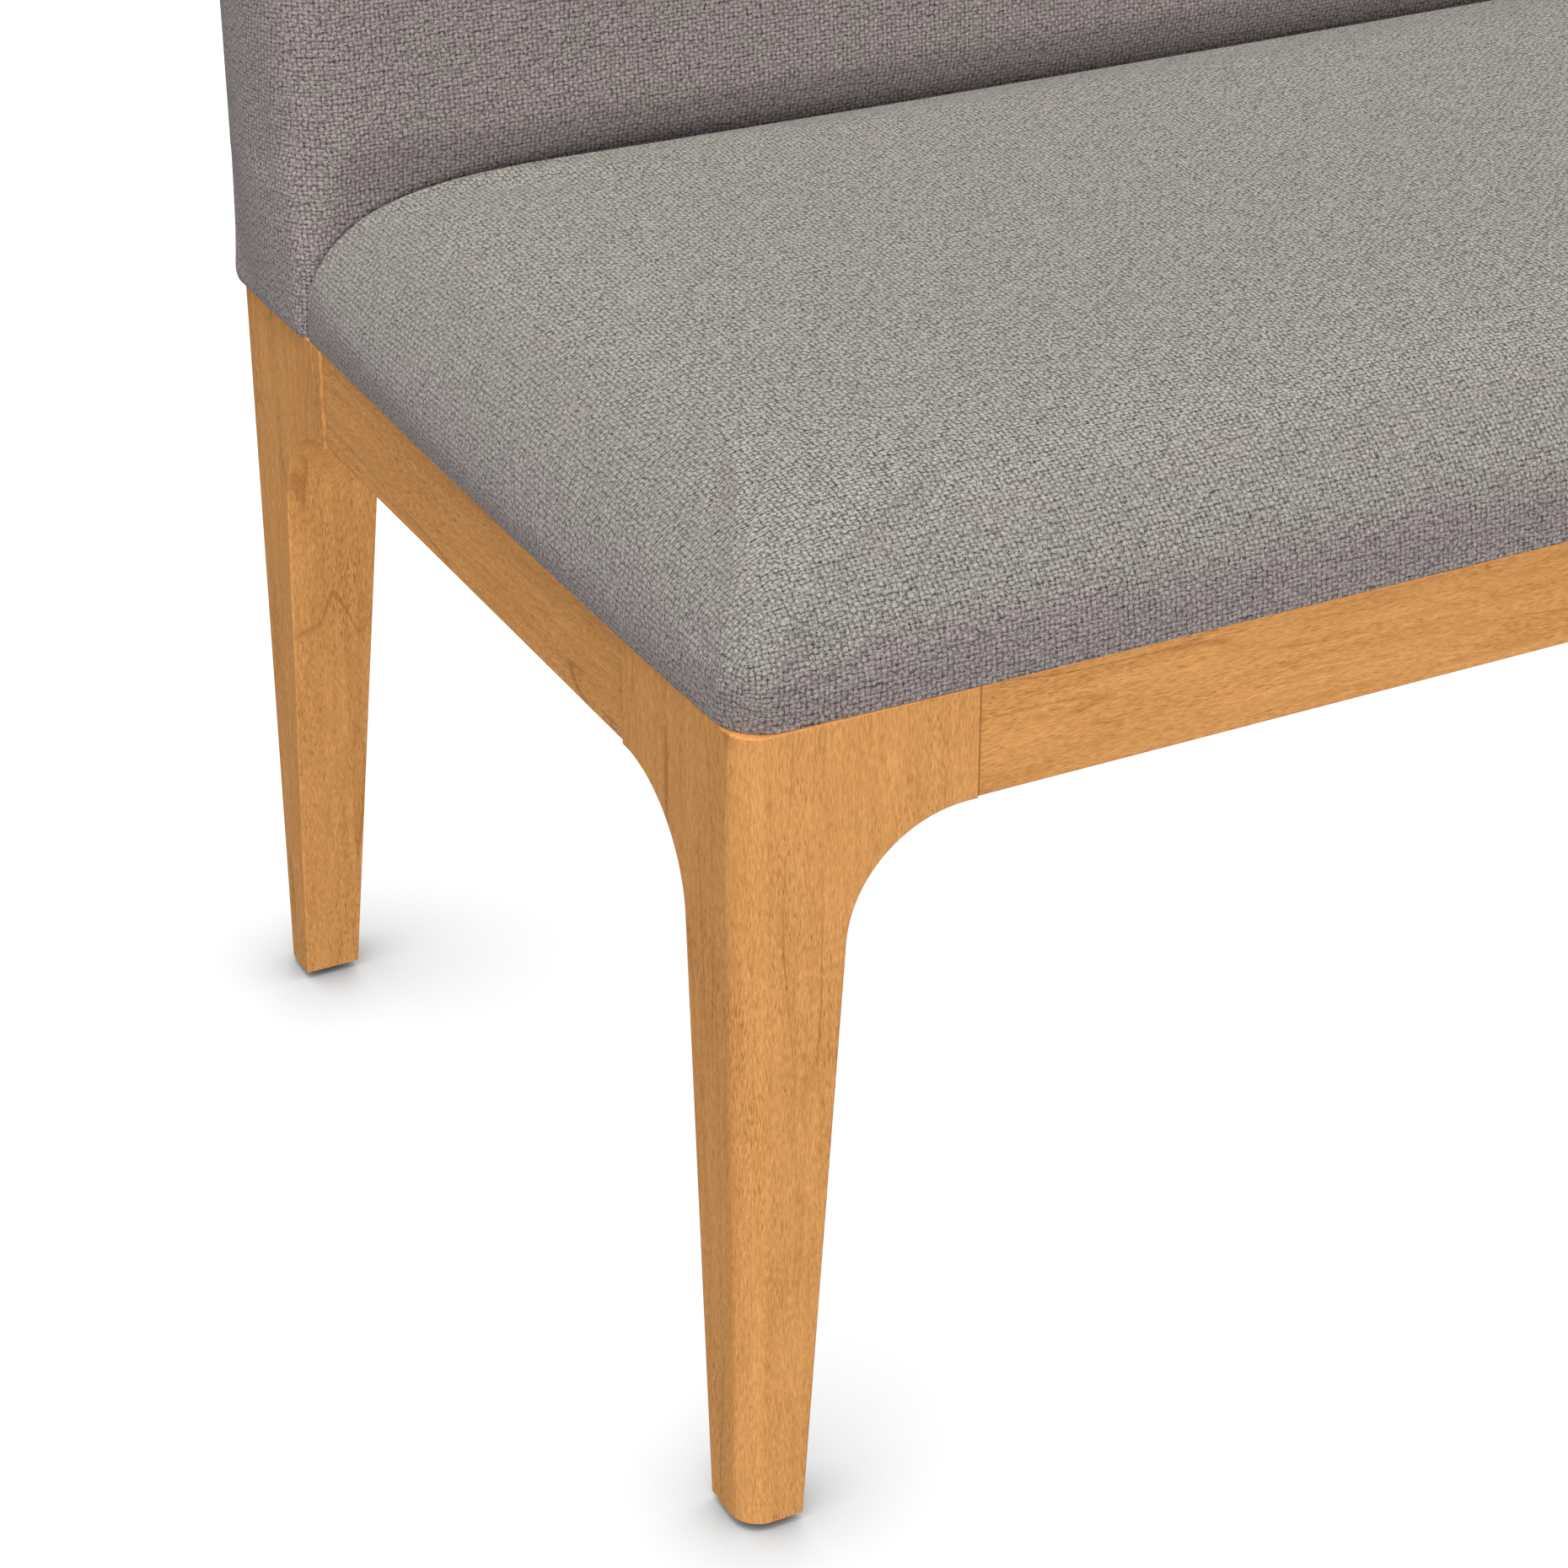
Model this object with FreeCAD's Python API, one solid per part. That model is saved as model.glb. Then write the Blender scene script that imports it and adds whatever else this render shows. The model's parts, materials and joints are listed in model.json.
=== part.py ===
"""Upholstered dining banquette: a timber base on four shaped legs, a webbed and padded seat, a padded back.

Frame: millimetres, +X along the bench (to a sitter's left), +Y to the rear, +Z up.
The origin lies on the floor, under the centre of the whole bench.
"""
import FreeCAD
import Part
import math
import os

V = FreeCAD.Vector

# Driving dimensions of the base
base_length = 1320.0
base_depth = 558.0
leg_height = 395.0
rail_height = 52.0
rail_thickness = 25.0
rail_setback = 1.5
edge_round = 1.0

# Legs: two arms at the top, a cove under each arm, a post that tapers on its inner faces
leg_arm = 110.0
arm_thickness = 30.0
leg_top_width = 52.5
leg_top_depth = 55.0
foot_width = 29.5
foot_depth = 32.5
cove_radius = 56.0
leg_corner_radius = 14.0

# Levelling glides
pad_radius = 11.0
pad_thickness = 3.8
pad_floor = 1.0
pad_key_radius = 2.4
collar_radius = 5.0
collar_height = 1.5
stud_radius = 3.0
stud_length = 34.0
key_radius = 1.7
key_depth = 3.0
insert_radius = 5.5
insert_length = 16.0
running_gap = 0.05
pad_gap = 0.2

# Timber joints
dowel_radius = 4.0
dowel_length = 40.0
dowel_spacing = 26.0
dowel_clearance = 0.1
dowel_end_gap = 0.5

# Corner blocks and cross bearers
block_near = 80.0
block_far = 106.0
block_height = 40.0
bearer_width = 40.0
bearer_height = 32.0
bearer_offset = 210.0

# Wood screws
screw_radius = 2.2
screw_head_radius = 4.2
screw_head_height = 2.6
screw_clearance = 0.15
screw_bite = 16.0
block_screw_place = 92.0
block_screw_cover = 8.0

# Seat
seat_rise = 75.0
seat_swell = 2.0
seat_corner_radius = 15.0
seat_bow = 0.5
cover_thickness = 1.5
lip_width = 24.0
seat_back_gap = 0.8
seat_frame_inset = 9.0
seat_frame_width = 60.0
seat_frame_thickness = 20.0
strap_width = 50.0
strap_thickness = 1.8
cross_strap_count = 11
long_strap_count = 4
wadding_thickness = 4.0
layer_gap = 1.0
seat_gap = 0.3
dust_cover_thickness = 0.8

# Back
back_height = 461.0
back_depth = 94.0
back_overhang = 5.0
back_side_swell = 3.0
back_rake_deg = 4.5
back_crown = 8.0
back_front_radius = 22.0
back_rear_radius = 12.0
back_rear_bow = 0.4
back_foot_height = 18.0
back_foot_depth = 6.0
back_round_height = 28.0
back_round_depth = 20.0
stile_width = 60.0
stile_shoulder = 15.0
stile_top_depth = 30.0
end_post_width = 30.0
tongue_thickness = 30.0
tongue_foot_gap = 5.0
tongue_slit = 1.0
back_rail_height = 60.0
back_rail_thickness = 15.0
back_frame_top_gap = 12.0
back_strap_count = 4
back_panel_thickness = 3.0
bolt_radius = 4.0
bolt_head_radius = 6.5
bolt_head_height = 5.0
bolt_spacing = 24.0
bolt_bite = 15.0
bolt_insert_radius = 6.0
washer_radius = 9.0
washer_thickness = 1.6

# Places that follow from the driving dimensions
rail_top = pad_thickness + pad_gap + leg_height
rail_bottom = rail_top - rail_height
leg_foot = pad_thickness + pad_gap
seat_front = -(seat_swell + base_depth + back_overhang) / 2
base_front = seat_front + seat_swell
base_rear = base_front + base_depth
back_rear = base_rear + back_overhang
base_half = base_length / 2
back_half = base_half + back_side_swell
back_foot = base_rear - back_depth
back_top = rail_top + back_height
rail_inner = rail_setback + rail_thickness
seat_frame_bottom = rail_top + cover_thickness
seat_frame_top = seat_frame_bottom + seat_frame_thickness
seat_frame_half = base_half - seat_frame_inset
seat_frame_front = base_front + seat_frame_inset
seat_frame_rear = back_foot - back_crown - seat_frame_inset
webbing_top = seat_frame_top + 2 * strap_thickness
rake = math.tan(math.radians(back_rake_deg))
stile_rear = base_rear - rail_inner + stile_shoulder
tongue_rear = base_rear - rail_inner
stile_front = tongue_rear - tongue_thickness
back_frame_top = back_top - back_frame_top_gap
stile_outer = base_half - seat_frame_inset
back_frame_bottom = rail_top + cover_thickness
stile_taper = (stile_rear - stile_front - stile_top_depth) / (back_frame_top - back_frame_bottom)

shapes = {}


def box(low, high):
    """A box between two opposite corners."""
    return Part.makeBox(high[0] - low[0], high[1] - low[1], high[2] - low[2], V(*low))


def rod(start, direction, radius, length):
    """A round rod from a start point along a direction."""
    return Part.makeCylinder(radius, length, V(*start), V(*direction))


def prism(points, direction):
    """A straight prism: a closed outline of points pushed along a direction."""
    outline = Part.makePolygon([V(*p) for p in points] + [V(*points[0])])
    return Part.Face(outline).extrude(V(*direction))


def edges_where(shape, test):
    """The edges whose middle and direction satisfy a test."""
    found = []
    for edge in shape.Edges:
        middle = edge.valueAt((edge.FirstParameter + edge.LastParameter) / 2)
        if test(edge, middle):
            found.append(edge)
    return found


def mirrored(shape, flip_x, flip_y):
    """A copy mirrored left to right and front to back, where asked, about the base's own centre."""
    centre = V(0, (base_front + base_rear) / 2, 0)
    copy = shape.copy()
    if flip_x:
        copy = copy.mirror(centre, V(1, 0, 0))
    if flip_y:
        copy = copy.mirror(centre, V(0, 1, 0))
    return copy


CORNERS = {
    "front_left": (False, False),
    "front_right": (True, False),
    "rear_left": (False, True),
    "rear_right": (True, True),
}


# Legs
def cove_profile(foot, top):
    """Side outline of a leg seen square on, as (distance from its outer face, height) edges."""
    lean = math.atan2(top - foot, leg_height - rail_height)
    turn = math.pi / 2 + lean
    reach = cove_radius / math.tan(turn / 2)
    corner = (top, rail_bottom)
    low = (corner[0] - reach * math.sin(lean), corner[1] - reach * math.cos(lean))
    high = (corner[0] + reach, corner[1])
    centre = (high[0], high[1] - cove_radius)
    half = math.pi / 2 + (math.pi / 2 + lean) / 2 - lean
    middle = (centre[0] + cove_radius * math.cos(half), centre[1] + cove_radius * math.sin(half))
    return low, middle, high


def leg_plate(foot, top, place):
    """One of the leg's two outlines, pushed through to the full length of the other arm."""
    low, middle, high = (V(*place(*p)) for p in cove_profile(foot, top))
    points = [V(*place(*p)) for p in
              ((0, leg_foot), (foot, leg_foot), (leg_arm, rail_bottom), (leg_arm, rail_top), (0, rail_top))]
    wire = Part.Wire([
        Part.makeLine(points[0], points[1]),
        Part.makeLine(points[1], low),
        Part.Arc(low, middle, high).toShape(),
        Part.makeLine(high, points[2]),
        Part.makeLine(points[2], points[3]),
        Part.makeLine(points[3], points[4]),
        Part.makeLine(points[4], points[0]),
    ])
    return Part.Face(wire)


def make_leg():
    """The front left leg, with its dowel holes and the bore for its levelling glide."""
    x0, y0 = -base_half, base_front
    across = leg_plate(foot_width, leg_top_width, lambda d, z: (x0 + d, y0, z)).extrude(V(0, leg_arm, 0))
    along = leg_plate(foot_depth, leg_top_depth, lambda d, z: (x0, y0 + d, z)).extrude(V(leg_arm, 0, 0))
    leg = across.common(along)
    pocket_foot = rail_bottom - cove_radius - arm_thickness
    pocket = box((x0 + arm_thickness, y0 + arm_thickness, pocket_foot),
                 (x0 + leg_arm + 1, y0 + leg_arm + 1, rail_top + 1))
    core = box((x0, y0, pocket_foot - 1), (x0 + leg_top_width, y0 + leg_top_depth, rail_top + 2))
    leg = leg.cut(pocket.cut(core)).removeSplitter()
    leg = leg.makeFillet(leg_corner_radius, edges_where(
        leg, lambda e, m: abs(m.x - x0) < 0.01 and abs(m.y - y0) < 0.01))
    outer = edges_where(leg, lambda e, m: m.z < rail_top - 0.01 and (
        (abs(m.y - y0) < 0.01 and m.x > x0 + leg_corner_radius + 0.01)
        or (abs(m.x - x0) < 0.01 and m.y > y0 + leg_corner_radius + 0.01)) and m.z > leg_foot + 0.01)
    leg = leg.makeFillet(edge_round, outer)
    for hole in arm_dowels(dowel_clearance, dowel_end_gap) + block_screws(screw_clearance):
        leg = leg.cut(hole)
    insert_top = leg_foot + insert_length + running_gap
    stud_top = pad_floor + stud_length + 2.0
    centre = foot_centre()
    leg = leg.cut(rod((*centre, leg_foot - 1), (0, 0, 1), insert_radius, insert_top - leg_foot + 1))
    return leg.cut(rod((*centre, leg_foot), (0, 0, 1), stud_radius + 1.0, stud_top - leg_foot))


def foot_centre():
    """Plan position of the front left leg's glide."""
    return -base_half + foot_width / 2, base_front + foot_depth / 2


def arm_dowels(clearance, end_gap):
    """The four dowels of the front left leg, two in the end of each arm, grown by a clearance."""
    x0, y0 = -base_half, base_front
    middle = rail_setback + rail_thickness / 2
    reach = dowel_length + 2 * end_gap
    heights = [(rail_bottom + rail_top + side * dowel_spacing) / 2 for side in (-1, 1)]
    radius = dowel_radius + clearance
    front = [rod((x0 + leg_arm - reach / 2, y0 + middle, z), (1, 0, 0), radius, reach) for z in heights]
    side = [rod((x0 + middle, y0 + leg_arm - reach / 2, z), (0, 1, 0), radius, reach) for z in heights]
    return front + side


# Rails and bearers
def long_rail(rear):
    """The front or rear rail, bored for the dowels at its ends and for the cross bearers."""
    low = (-base_half + leg_arm, base_front + rail_setback, rail_bottom)
    high = (base_half - leg_arm, base_front + rail_inner, rail_top)
    shape = box(low, high)
    outer = edges_where(shape, lambda e, m: abs(m.y - low[1]) < 0.01 and m.z < rail_top - 0.01)
    shape = shape.makeFillet(edge_round, outer)
    shape = mirrored(shape, False, rear)
    for flip_x in (False, True):
        for hole in arm_dowels(dowel_clearance, dowel_end_gap)[:2]:
            shape = shape.cut(mirrored(hole, flip_x, rear))
    for hole in bearer_dowels(dowel_clearance, dowel_end_gap):
        shape = shape.cut(hole)
    return shape


def side_rail(right):
    """The left or right rail, bored for the dowels at its ends."""
    low = (-base_half + rail_setback, base_front + leg_arm, rail_bottom)
    high = (-base_half + rail_inner, base_rear - leg_arm, rail_top)
    shape = box(low, high)
    outer = edges_where(shape, lambda e, m: abs(m.x - low[0]) < 0.01 and m.z < rail_top - 0.01)
    shape = shape.makeFillet(edge_round, outer)
    for flip_y in (False, True):
        for hole in arm_dowels(dowel_clearance, dowel_end_gap)[2:]:
            shape = shape.cut(mirrored(hole, False, flip_y))
    return mirrored(shape, right, False)


def bearer_dowels(clearance, end_gap):
    """Dowels that carry the cross bearers, two in each end."""
    reach = rail_thickness + 2 * end_gap
    found = []
    for x in (-bearer_offset, bearer_offset):
        for side in (-1, 1):
            place = x + side * bearer_width / 4
            height = rail_top - bearer_height / 2
            for y in (base_front + rail_inner, base_rear - rail_inner):
                found.append(rod((place, y - reach / 2, height), (0, 1, 0), dowel_radius + clearance, reach))
    return found


def bearer(x):
    """A cross bearer between the front and rear rails, under the seat frame."""
    shape = box((x - bearer_width / 2, base_front + rail_inner, rail_top - bearer_height),
                (x + bearer_width / 2, base_rear - rail_inner, rail_top))
    for hole in bearer_dowels(dowel_clearance, dowel_end_gap) + seat_screws(screw_clearance):
        shape = shape.cut(hole)
    return shape


# Corner blocks and screws
def screw(start, direction, length, grow=0.0):
    """A countersunk-looking wood screw: a head, a shank and a point, or the hole for it."""
    d = V(*direction)
    start = V(*start)
    head = Part.makeCylinder(screw_head_radius + grow, screw_head_height, start, d)
    if grow:
        head = Part.makeCylinder(screw_head_radius + grow, screw_head_height + length, start - d * length, d)
    neck = start + d * screw_head_height
    shank = Part.makeCylinder(screw_radius + grow, length - 2 * screw_radius, neck, d)
    tip = Part.makeCone(screw_radius + grow, 0.4 + grow, 2 * screw_radius + grow,
                        neck + d * (length - 2 * screw_radius), d)
    return head.fuse(shank).fuse(tip).removeSplitter()


def corner_block(holds_seat):
    """The diagonal block of the front left corner, bored for its own screws and, in front, for the seat's."""
    x0, y0 = -base_half, base_front
    foot = rail_top - block_height
    shape = prism([(x0 + arm_thickness, y0 + block_near, foot), (x0 + arm_thickness, y0 + block_far, foot),
                   (x0 + block_far, y0 + arm_thickness, foot), (x0 + block_near, y0 + arm_thickness, foot)],
                  (0, 0, block_height))
    for hole in block_screws(screw_clearance):
        shape = shape.cut(hole)
    for hole in seat_screws(screw_clearance) if holds_seat else []:
        shape = shape.cut(hole)
    return shape


def block_screws(grow=0.0):
    """The two screws that pull the front left block against the leg's arms."""
    x0, y0 = -base_half, base_front
    height = rail_top - block_height / 2
    length = block_screw_cover - screw_head_height + screw_bite
    start = arm_thickness + block_screw_cover
    return [screw((x0 + block_screw_place, y0 + start, height), (0, -1, 0), length, grow),
            screw((x0 + start, y0 + block_screw_place, height), (-1, 0, 0), length, grow)]


def seat_screw_places():
    """Plan points of the screws that hold the seat frame down: one in each block, three in each bearer."""
    middle = (block_near + block_far) / 2 + arm_thickness
    x = -base_half + middle / 2
    y = base_front + middle / 2
    blocks = [(sx * x, y) for sx in (1, -1)]
    rows = (seat_frame_front + seat_frame_width / 2, (seat_frame_front + seat_frame_rear) / 2,
            seat_frame_rear - seat_frame_width / 2)
    return blocks + [(x, y) for x in (-bearer_offset, bearer_offset) for y in rows]


def seat_screws(grow=0.0):
    """Screws up through the blocks and bearers into the seat frame."""
    found = []
    for x, y in seat_screw_places():
        start = rail_top - bearer_height / 2
        length = seat_frame_bottom + seat_frame_thickness * 0.7 - start - screw_head_height
        found.append(screw((x, y, start), (0, 0, 1), length, grow))
    return found


# Levelling glides
def glide_pad():
    """The front left glide's pad, snapped over the stud's collar, with a hole below for the key."""
    x, y = foot_centre()
    pad = rod((x, y, 0), (0, 0, 1), pad_radius, pad_thickness)
    pad = pad.makeFillet(edge_round, edges_where(pad, lambda e, m: e.Length > 2 * pad_radius))
    socket = rod((x, y, pad_floor), (0, 0, 1), collar_radius + running_gap, collar_height + 2 * running_gap)
    neck = rod((x, y, pad_floor), (0, 0, 1), stud_radius + 10 * running_gap, pad_thickness)
    return pad.cut(socket).cut(neck).cut(rod((x, y, -1), (0, 0, 1), pad_key_radius, pad_thickness))


def glide_stud():
    """The front left glide's stud: a collar held in the pad, a shank in the leg's insert, a key socket below."""
    x, y = foot_centre()
    foot = pad_floor + running_gap
    collar = rod((x, y, foot), (0, 0, 1), collar_radius, collar_height)
    shank = rod((x, y, foot), (0, 0, 1), stud_radius, stud_length)
    shank = shank.makeChamfer(edge_round, edges_where(
        shank, lambda e, m: abs(m.z - foot - stud_length) < 0.01))
    key = prism([(x + key_radius * math.cos(math.radians(60 * i)), y + key_radius * math.sin(math.radians(60 * i)),
                  foot - 1) for i in range(6)], (0, 0, key_depth + 1))
    return collar.fuse(shank).removeSplitter().cut(key)


def glide_insert():
    """The sleeve pressed into the front left leg, which the stud screws through."""
    x, y = foot_centre()
    sleeve = rod((x, y, leg_foot), (0, 0, 1), insert_radius - running_gap, insert_length)
    return sleeve.cut(rod((x, y, leg_foot - 1), (0, 0, 1), stud_radius + running_gap, insert_length + 2))


# Soft forms
def section(half, front, rear, front_radius, rear_radius, front_bow, rear_bow, z):
    """A level outline with rounded corners: its front and rear edges are arcs that bow towards the front."""
    def corner(cx, cy, radius, start):
        points = []
        for step in (0, 45, 90):
            a = math.radians(start + step)
            points.append(V(cx + radius * math.cos(a), cy + radius * math.sin(a), z))
        return points

    fr, rr = front_radius, rear_radius
    fl = corner(-half + fr, front + fr, fr, 180)
    fright = corner(half - fr, front + fr, fr, 270)
    rright = corner(half - rr, rear - rr, rr, 0)
    rleft = corner(-half + rr, rear - rr, rr, 90)
    return Part.Wire([
        Part.Arc(fl[2], V(0, front - front_bow, z), fright[0]).toShape(),
        Part.Arc(*fright).toShape(),
        Part.makeLine(fright[2], rright[0]),
        Part.Arc(*rright).toShape(),
        Part.Arc(rright[2], V(0, rear - rear_bow, z), rleft[0]).toShape(),
        Part.Arc(*rleft).toShape(),
        Part.makeLine(rleft[2], fl[0]),
        Part.Arc(*fl).toShape(),
    ])


# Seat outline: share of the rise above the rails, inset from the base, inset at the rear
SEAT_PROFILE = [
    (0.00, 0.8, 0.0),
    (0.08, -0.7, 0.0),
    (0.18, -1.0, 0.0),
    (0.30, -0.7, 0.0),
    (0.40, 1.0, 0.0),
    (0.50, 5.0, 0.0),
    (0.60, 11.0, 0.0),
    (0.70, 20.0, 0.0),
    (0.79, 33.0, 0.0),
    (0.87, 54.0, 1.0),
    (0.93, 82.0, 4.0),
    (0.975, 120.0, 13.0),
    (1.00, 165.0, 34.0),
]


def back_face(z):
    """Distance of the back's front face from the front, at its ends, for a height."""
    return back_foot + (z - rail_top) * rake


def seat_form(inset, floor):
    """The crowned seat, drawn in all round by an inset, standing on a given level."""
    wires = []
    for share, side, rear in SEAT_PROFILE:
        side = side * seat_swell if side < 0 else side
        z = floor + share * (rail_top + seat_rise - inset - floor)
        radius = seat_corner_radius + 0.7 * max(side, 0)
        wires.append(section(base_half - side - inset, base_front + side + inset,
                             back_face(z) - seat_back_gap - rear - inset, radius, 3.0 + 0.4 * rear,
                             seat_bow, back_crown, z))
    return Part.makeLoft(wires, True, True)


def rounding(height, depth):
    """Quarter of an oval that rounds an edge off: how far along, and how far drawn in, at each step."""
    steps = [math.radians(a) for a in (0, 20, 40, 60, 75, 90)]
    return [(height * (1 - math.cos(a)), depth * (1 - math.sin(a))) for a in steps]


def back_levels():
    """Levels of the back's outline: height above the rails, and how far it is drawn in there."""
    foot = rounding(back_foot_height, back_foot_depth)
    top = rounding(back_round_height, back_round_depth)
    return (foot + [(back_height * share, 0.0) for share in (0.35, 0.55, 0.75)]
            + [(back_height - rise, draw) for rise, draw in reversed(top)])


def back_form(inset, floor):
    """The padded back, drawn in all round by an inset, standing on a given level."""
    wires = []
    for rise, draw in back_levels():
        z = floor + rise / back_height * (back_top - inset - floor)
        crown = back_crown * (1 - 0.7 * max(0.0, (rise / back_height - 0.35) / 0.65) ** 2)
        front_draw = draw if rise > back_height / 2 else 0.0
        wires.append(section(back_half - draw - inset, back_face(z) + front_draw + inset, back_rear - draw - inset,
                             back_front_radius - 0.6 * draw, back_rear_radius - 0.4 * draw,
                             crown, -back_rear_bow, z))
    return Part.makeLoft(wires, True, True)


def fabric_shell(form, openings):
    """A cover sewn over a form, turned in under its foot round one or more openings."""
    shell = form(0.0, rail_top).cut(form(cover_thickness, rail_top + cover_thickness))
    for low, high in openings:
        shell = shell.cut(box((*low, rail_top - 1), (*high, rail_top + cover_thickness + 0.5)))
    return shell


def seat_cover():
    """Fabric of the seat, turned in under the seat frame."""
    return fabric_shell(seat_form, [((-base_half + lip_width, base_front + lip_width),
                                     (base_half - lip_width, back_foot - back_crown - lip_width))])


def seat_layer(inset, floor):
    """The seat's form drawn in by an inset, and cut off level at a floor."""
    below = box((-base_length, -base_depth, 0), (base_length, base_depth, floor))
    return seat_form(inset, rail_top + cover_thickness).cut(below)


def seat_wadding():
    """Polyester wadding between the foam and the cover."""
    outer = cover_thickness + layer_gap
    inner = outer + wadding_thickness
    return seat_layer(outer, seat_frame_top).cut(seat_layer(inner, seat_frame_top))


def seat_foam():
    """The foam slab of the seat, on the webbing."""
    return seat_layer(cover_thickness + 2 * layer_gap + wadding_thickness, webbing_top + seat_gap)


# Seat frame and webbing
def seat_frame_parts():
    """Members of the seat frame: two sides, front and rear between them, two crossbars over the bearers."""
    low, high = seat_frame_bottom, seat_frame_top
    inner_x = seat_frame_half - seat_frame_width
    inner_front = seat_frame_front + seat_frame_width
    inner_rear = seat_frame_rear - seat_frame_width
    parts = {
        "seat_frame_left": box((-seat_frame_half, seat_frame_front, low), (-inner_x, seat_frame_rear, high)),
        "seat_frame_right": box((inner_x, seat_frame_front, low), (seat_frame_half, seat_frame_rear, high)),
        "seat_frame_front": box((-inner_x, seat_frame_front, low), (inner_x, inner_front, high)),
        "seat_frame_rear": box((-inner_x, inner_rear, low), (inner_x, seat_frame_rear, high)),
    }
    for name, x in (("left", -bearer_offset), ("right", bearer_offset)):
        parts["seat_crossbar_" + name] = box((x - seat_frame_width / 2, inner_front, low),
                                             (x + seat_frame_width / 2, inner_rear, high))
    holes = seat_frame_dowels(dowel_clearance, dowel_end_gap) + seat_screws(screw_clearance)
    for name in parts:
        for hole in holes:
            parts[name] = parts[name].cut(hole)
    return parts


def seat_frame_dowels(clearance, end_gap):
    """Dowels across the butt joints of the seat frame."""
    reach = dowel_length + 2 * end_gap
    radius = dowel_radius + clearance
    height = (seat_frame_bottom + seat_frame_top) / 2
    inner_x = seat_frame_half - seat_frame_width
    inner_front = seat_frame_front + seat_frame_width
    inner_rear = seat_frame_rear - seat_frame_width
    found = []
    for x in (-inner_x, inner_x):
        for y in (seat_frame_front + seat_frame_width / 4, seat_frame_front + seat_frame_width * 3 / 4,
                  seat_frame_rear - seat_frame_width / 4, seat_frame_rear - seat_frame_width * 3 / 4):
            found.append(rod((x - reach / 2, y, height), (1, 0, 0), radius, reach))
    for x in (-bearer_offset, bearer_offset):
        for side in (-1, 1):
            for y in (inner_front, inner_rear):
                found.append(rod((x + side * seat_frame_width / 4, y - reach / 2, height), (0, 1, 0), radius, reach))
    return found


def spread(count, low, high):
    """Evenly spaced places between two limits, half a step in from each."""
    step = (high - low) / count
    return [low + step * (i + 0.5) for i in range(count)]


def cross_straps():
    """Webbing from the front member of the seat frame to the rear one."""
    reach = seat_frame_width * 0.6
    front = seat_frame_front + seat_frame_width - reach
    rear = seat_frame_rear - seat_frame_width + reach
    inner = seat_frame_half - seat_frame_width
    return [box((x - strap_width / 2, front, seat_frame_top), (x + strap_width / 2, rear, seat_frame_top + strap_thickness))
            for x in spread(cross_strap_count, -inner, inner)]


def long_straps():
    """Webbing from side to side, over the cross straps."""
    half = seat_frame_half - seat_frame_width * 0.4
    low = seat_frame_top + strap_thickness
    inner = (seat_frame_front + seat_frame_width, seat_frame_rear - seat_frame_width)
    return [box((-half, y - strap_width / 2, low), (half, y + strap_width / 2, low + strap_thickness))
            for y in spread(long_strap_count, *inner)]


def dust_cover():
    """Black cloth under the seat frame, let in between the rails, blocks and bearers."""
    top = seat_frame_bottom
    shape = box((-base_half + lip_width + seat_gap, base_front + lip_width + seat_gap, top - dust_cover_thickness),
                (base_half - lip_width - seat_gap, seat_frame_rear - lip_width, top))
    for x, y in seat_screw_places():
        shape = shape.cut(rod((x, y, top - 2), (0, 0, 1), screw_radius + screw_clearance, 4))
    return shape


# Back frame
STILES = {"left": -1, "centre": 0, "right": 1}


def stile_face(z):
    """Front face of the stiles at a height."""
    return stile_front + (z - back_frame_bottom) * stile_taper


def stile_left_edge(side):
    """Left face of a stile: the outer two stand against the ends of the legs' arms."""
    return side * (base_half - leg_arm - stile_width / 2) - stile_width / 2


def upright(left, width):
    """A post of the back frame, housed at the rear for the back rails."""
    shape = prism([(left, stile_front, back_frame_bottom), (left, stile_rear, back_frame_bottom),
                   (left, stile_rear, back_frame_top), (left, stile_face(back_frame_top), back_frame_top)],
                  (width, 0, 0))
    for rail in back_rails().values():
        shape = shape.cut(rail)
    for hole in back_screws(screw_clearance):
        shape = shape.cut(hole)
    return shape


def back_stile(side):
    """A back stile: a post with a tongue that passes down inside the rear rail, bored for its bolts."""
    left = stile_left_edge(side)
    tongue = box((left, stile_front, rail_bottom + tongue_foot_gap),
                 (left + stile_width, tongue_rear, back_frame_bottom))
    shape = upright(left, stile_width).fuse(tongue).removeSplitter()
    for x, z in bolt_places():
        shape = shape.cut(rod((x, stile_front - 1, z), (0, 1, 0), bolt_radius + dowel_clearance,
                              tongue_thickness + 2))
    return shape


def bolt_places():
    """Where the bolts pass: two through each stile's tongue."""
    middle = (rail_bottom + tongue_foot_gap + rail_top) / 2
    return [(stile_left_edge(side) + stile_width / 2, middle + lift * bolt_spacing / 2)
            for side in STILES.values() for lift in (-1, 1)]


def back_rail_levels():
    """Foot of the back frame's lower, middle and upper rails."""
    top = back_frame_top - back_rail_height
    return {"back_bottom_rail": back_frame_bottom, "back_middle_rail": (back_frame_bottom + top) / 2,
            "back_top_rail": top}


def back_rails():
    """The back rails: full-length boards let in flush with the rear of the stiles."""
    return {name: box((-stile_outer, stile_rear - back_rail_thickness, low),
                      (stile_outer, stile_rear, low + back_rail_height))
            for name, low in back_rail_levels().items()}


def bored_back_rail(name):
    """A back rail with the holes for its screws."""
    shape = back_rails()[name]
    for hole in back_screws(screw_clearance):
        shape = shape.cut(hole)
    return shape


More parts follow.
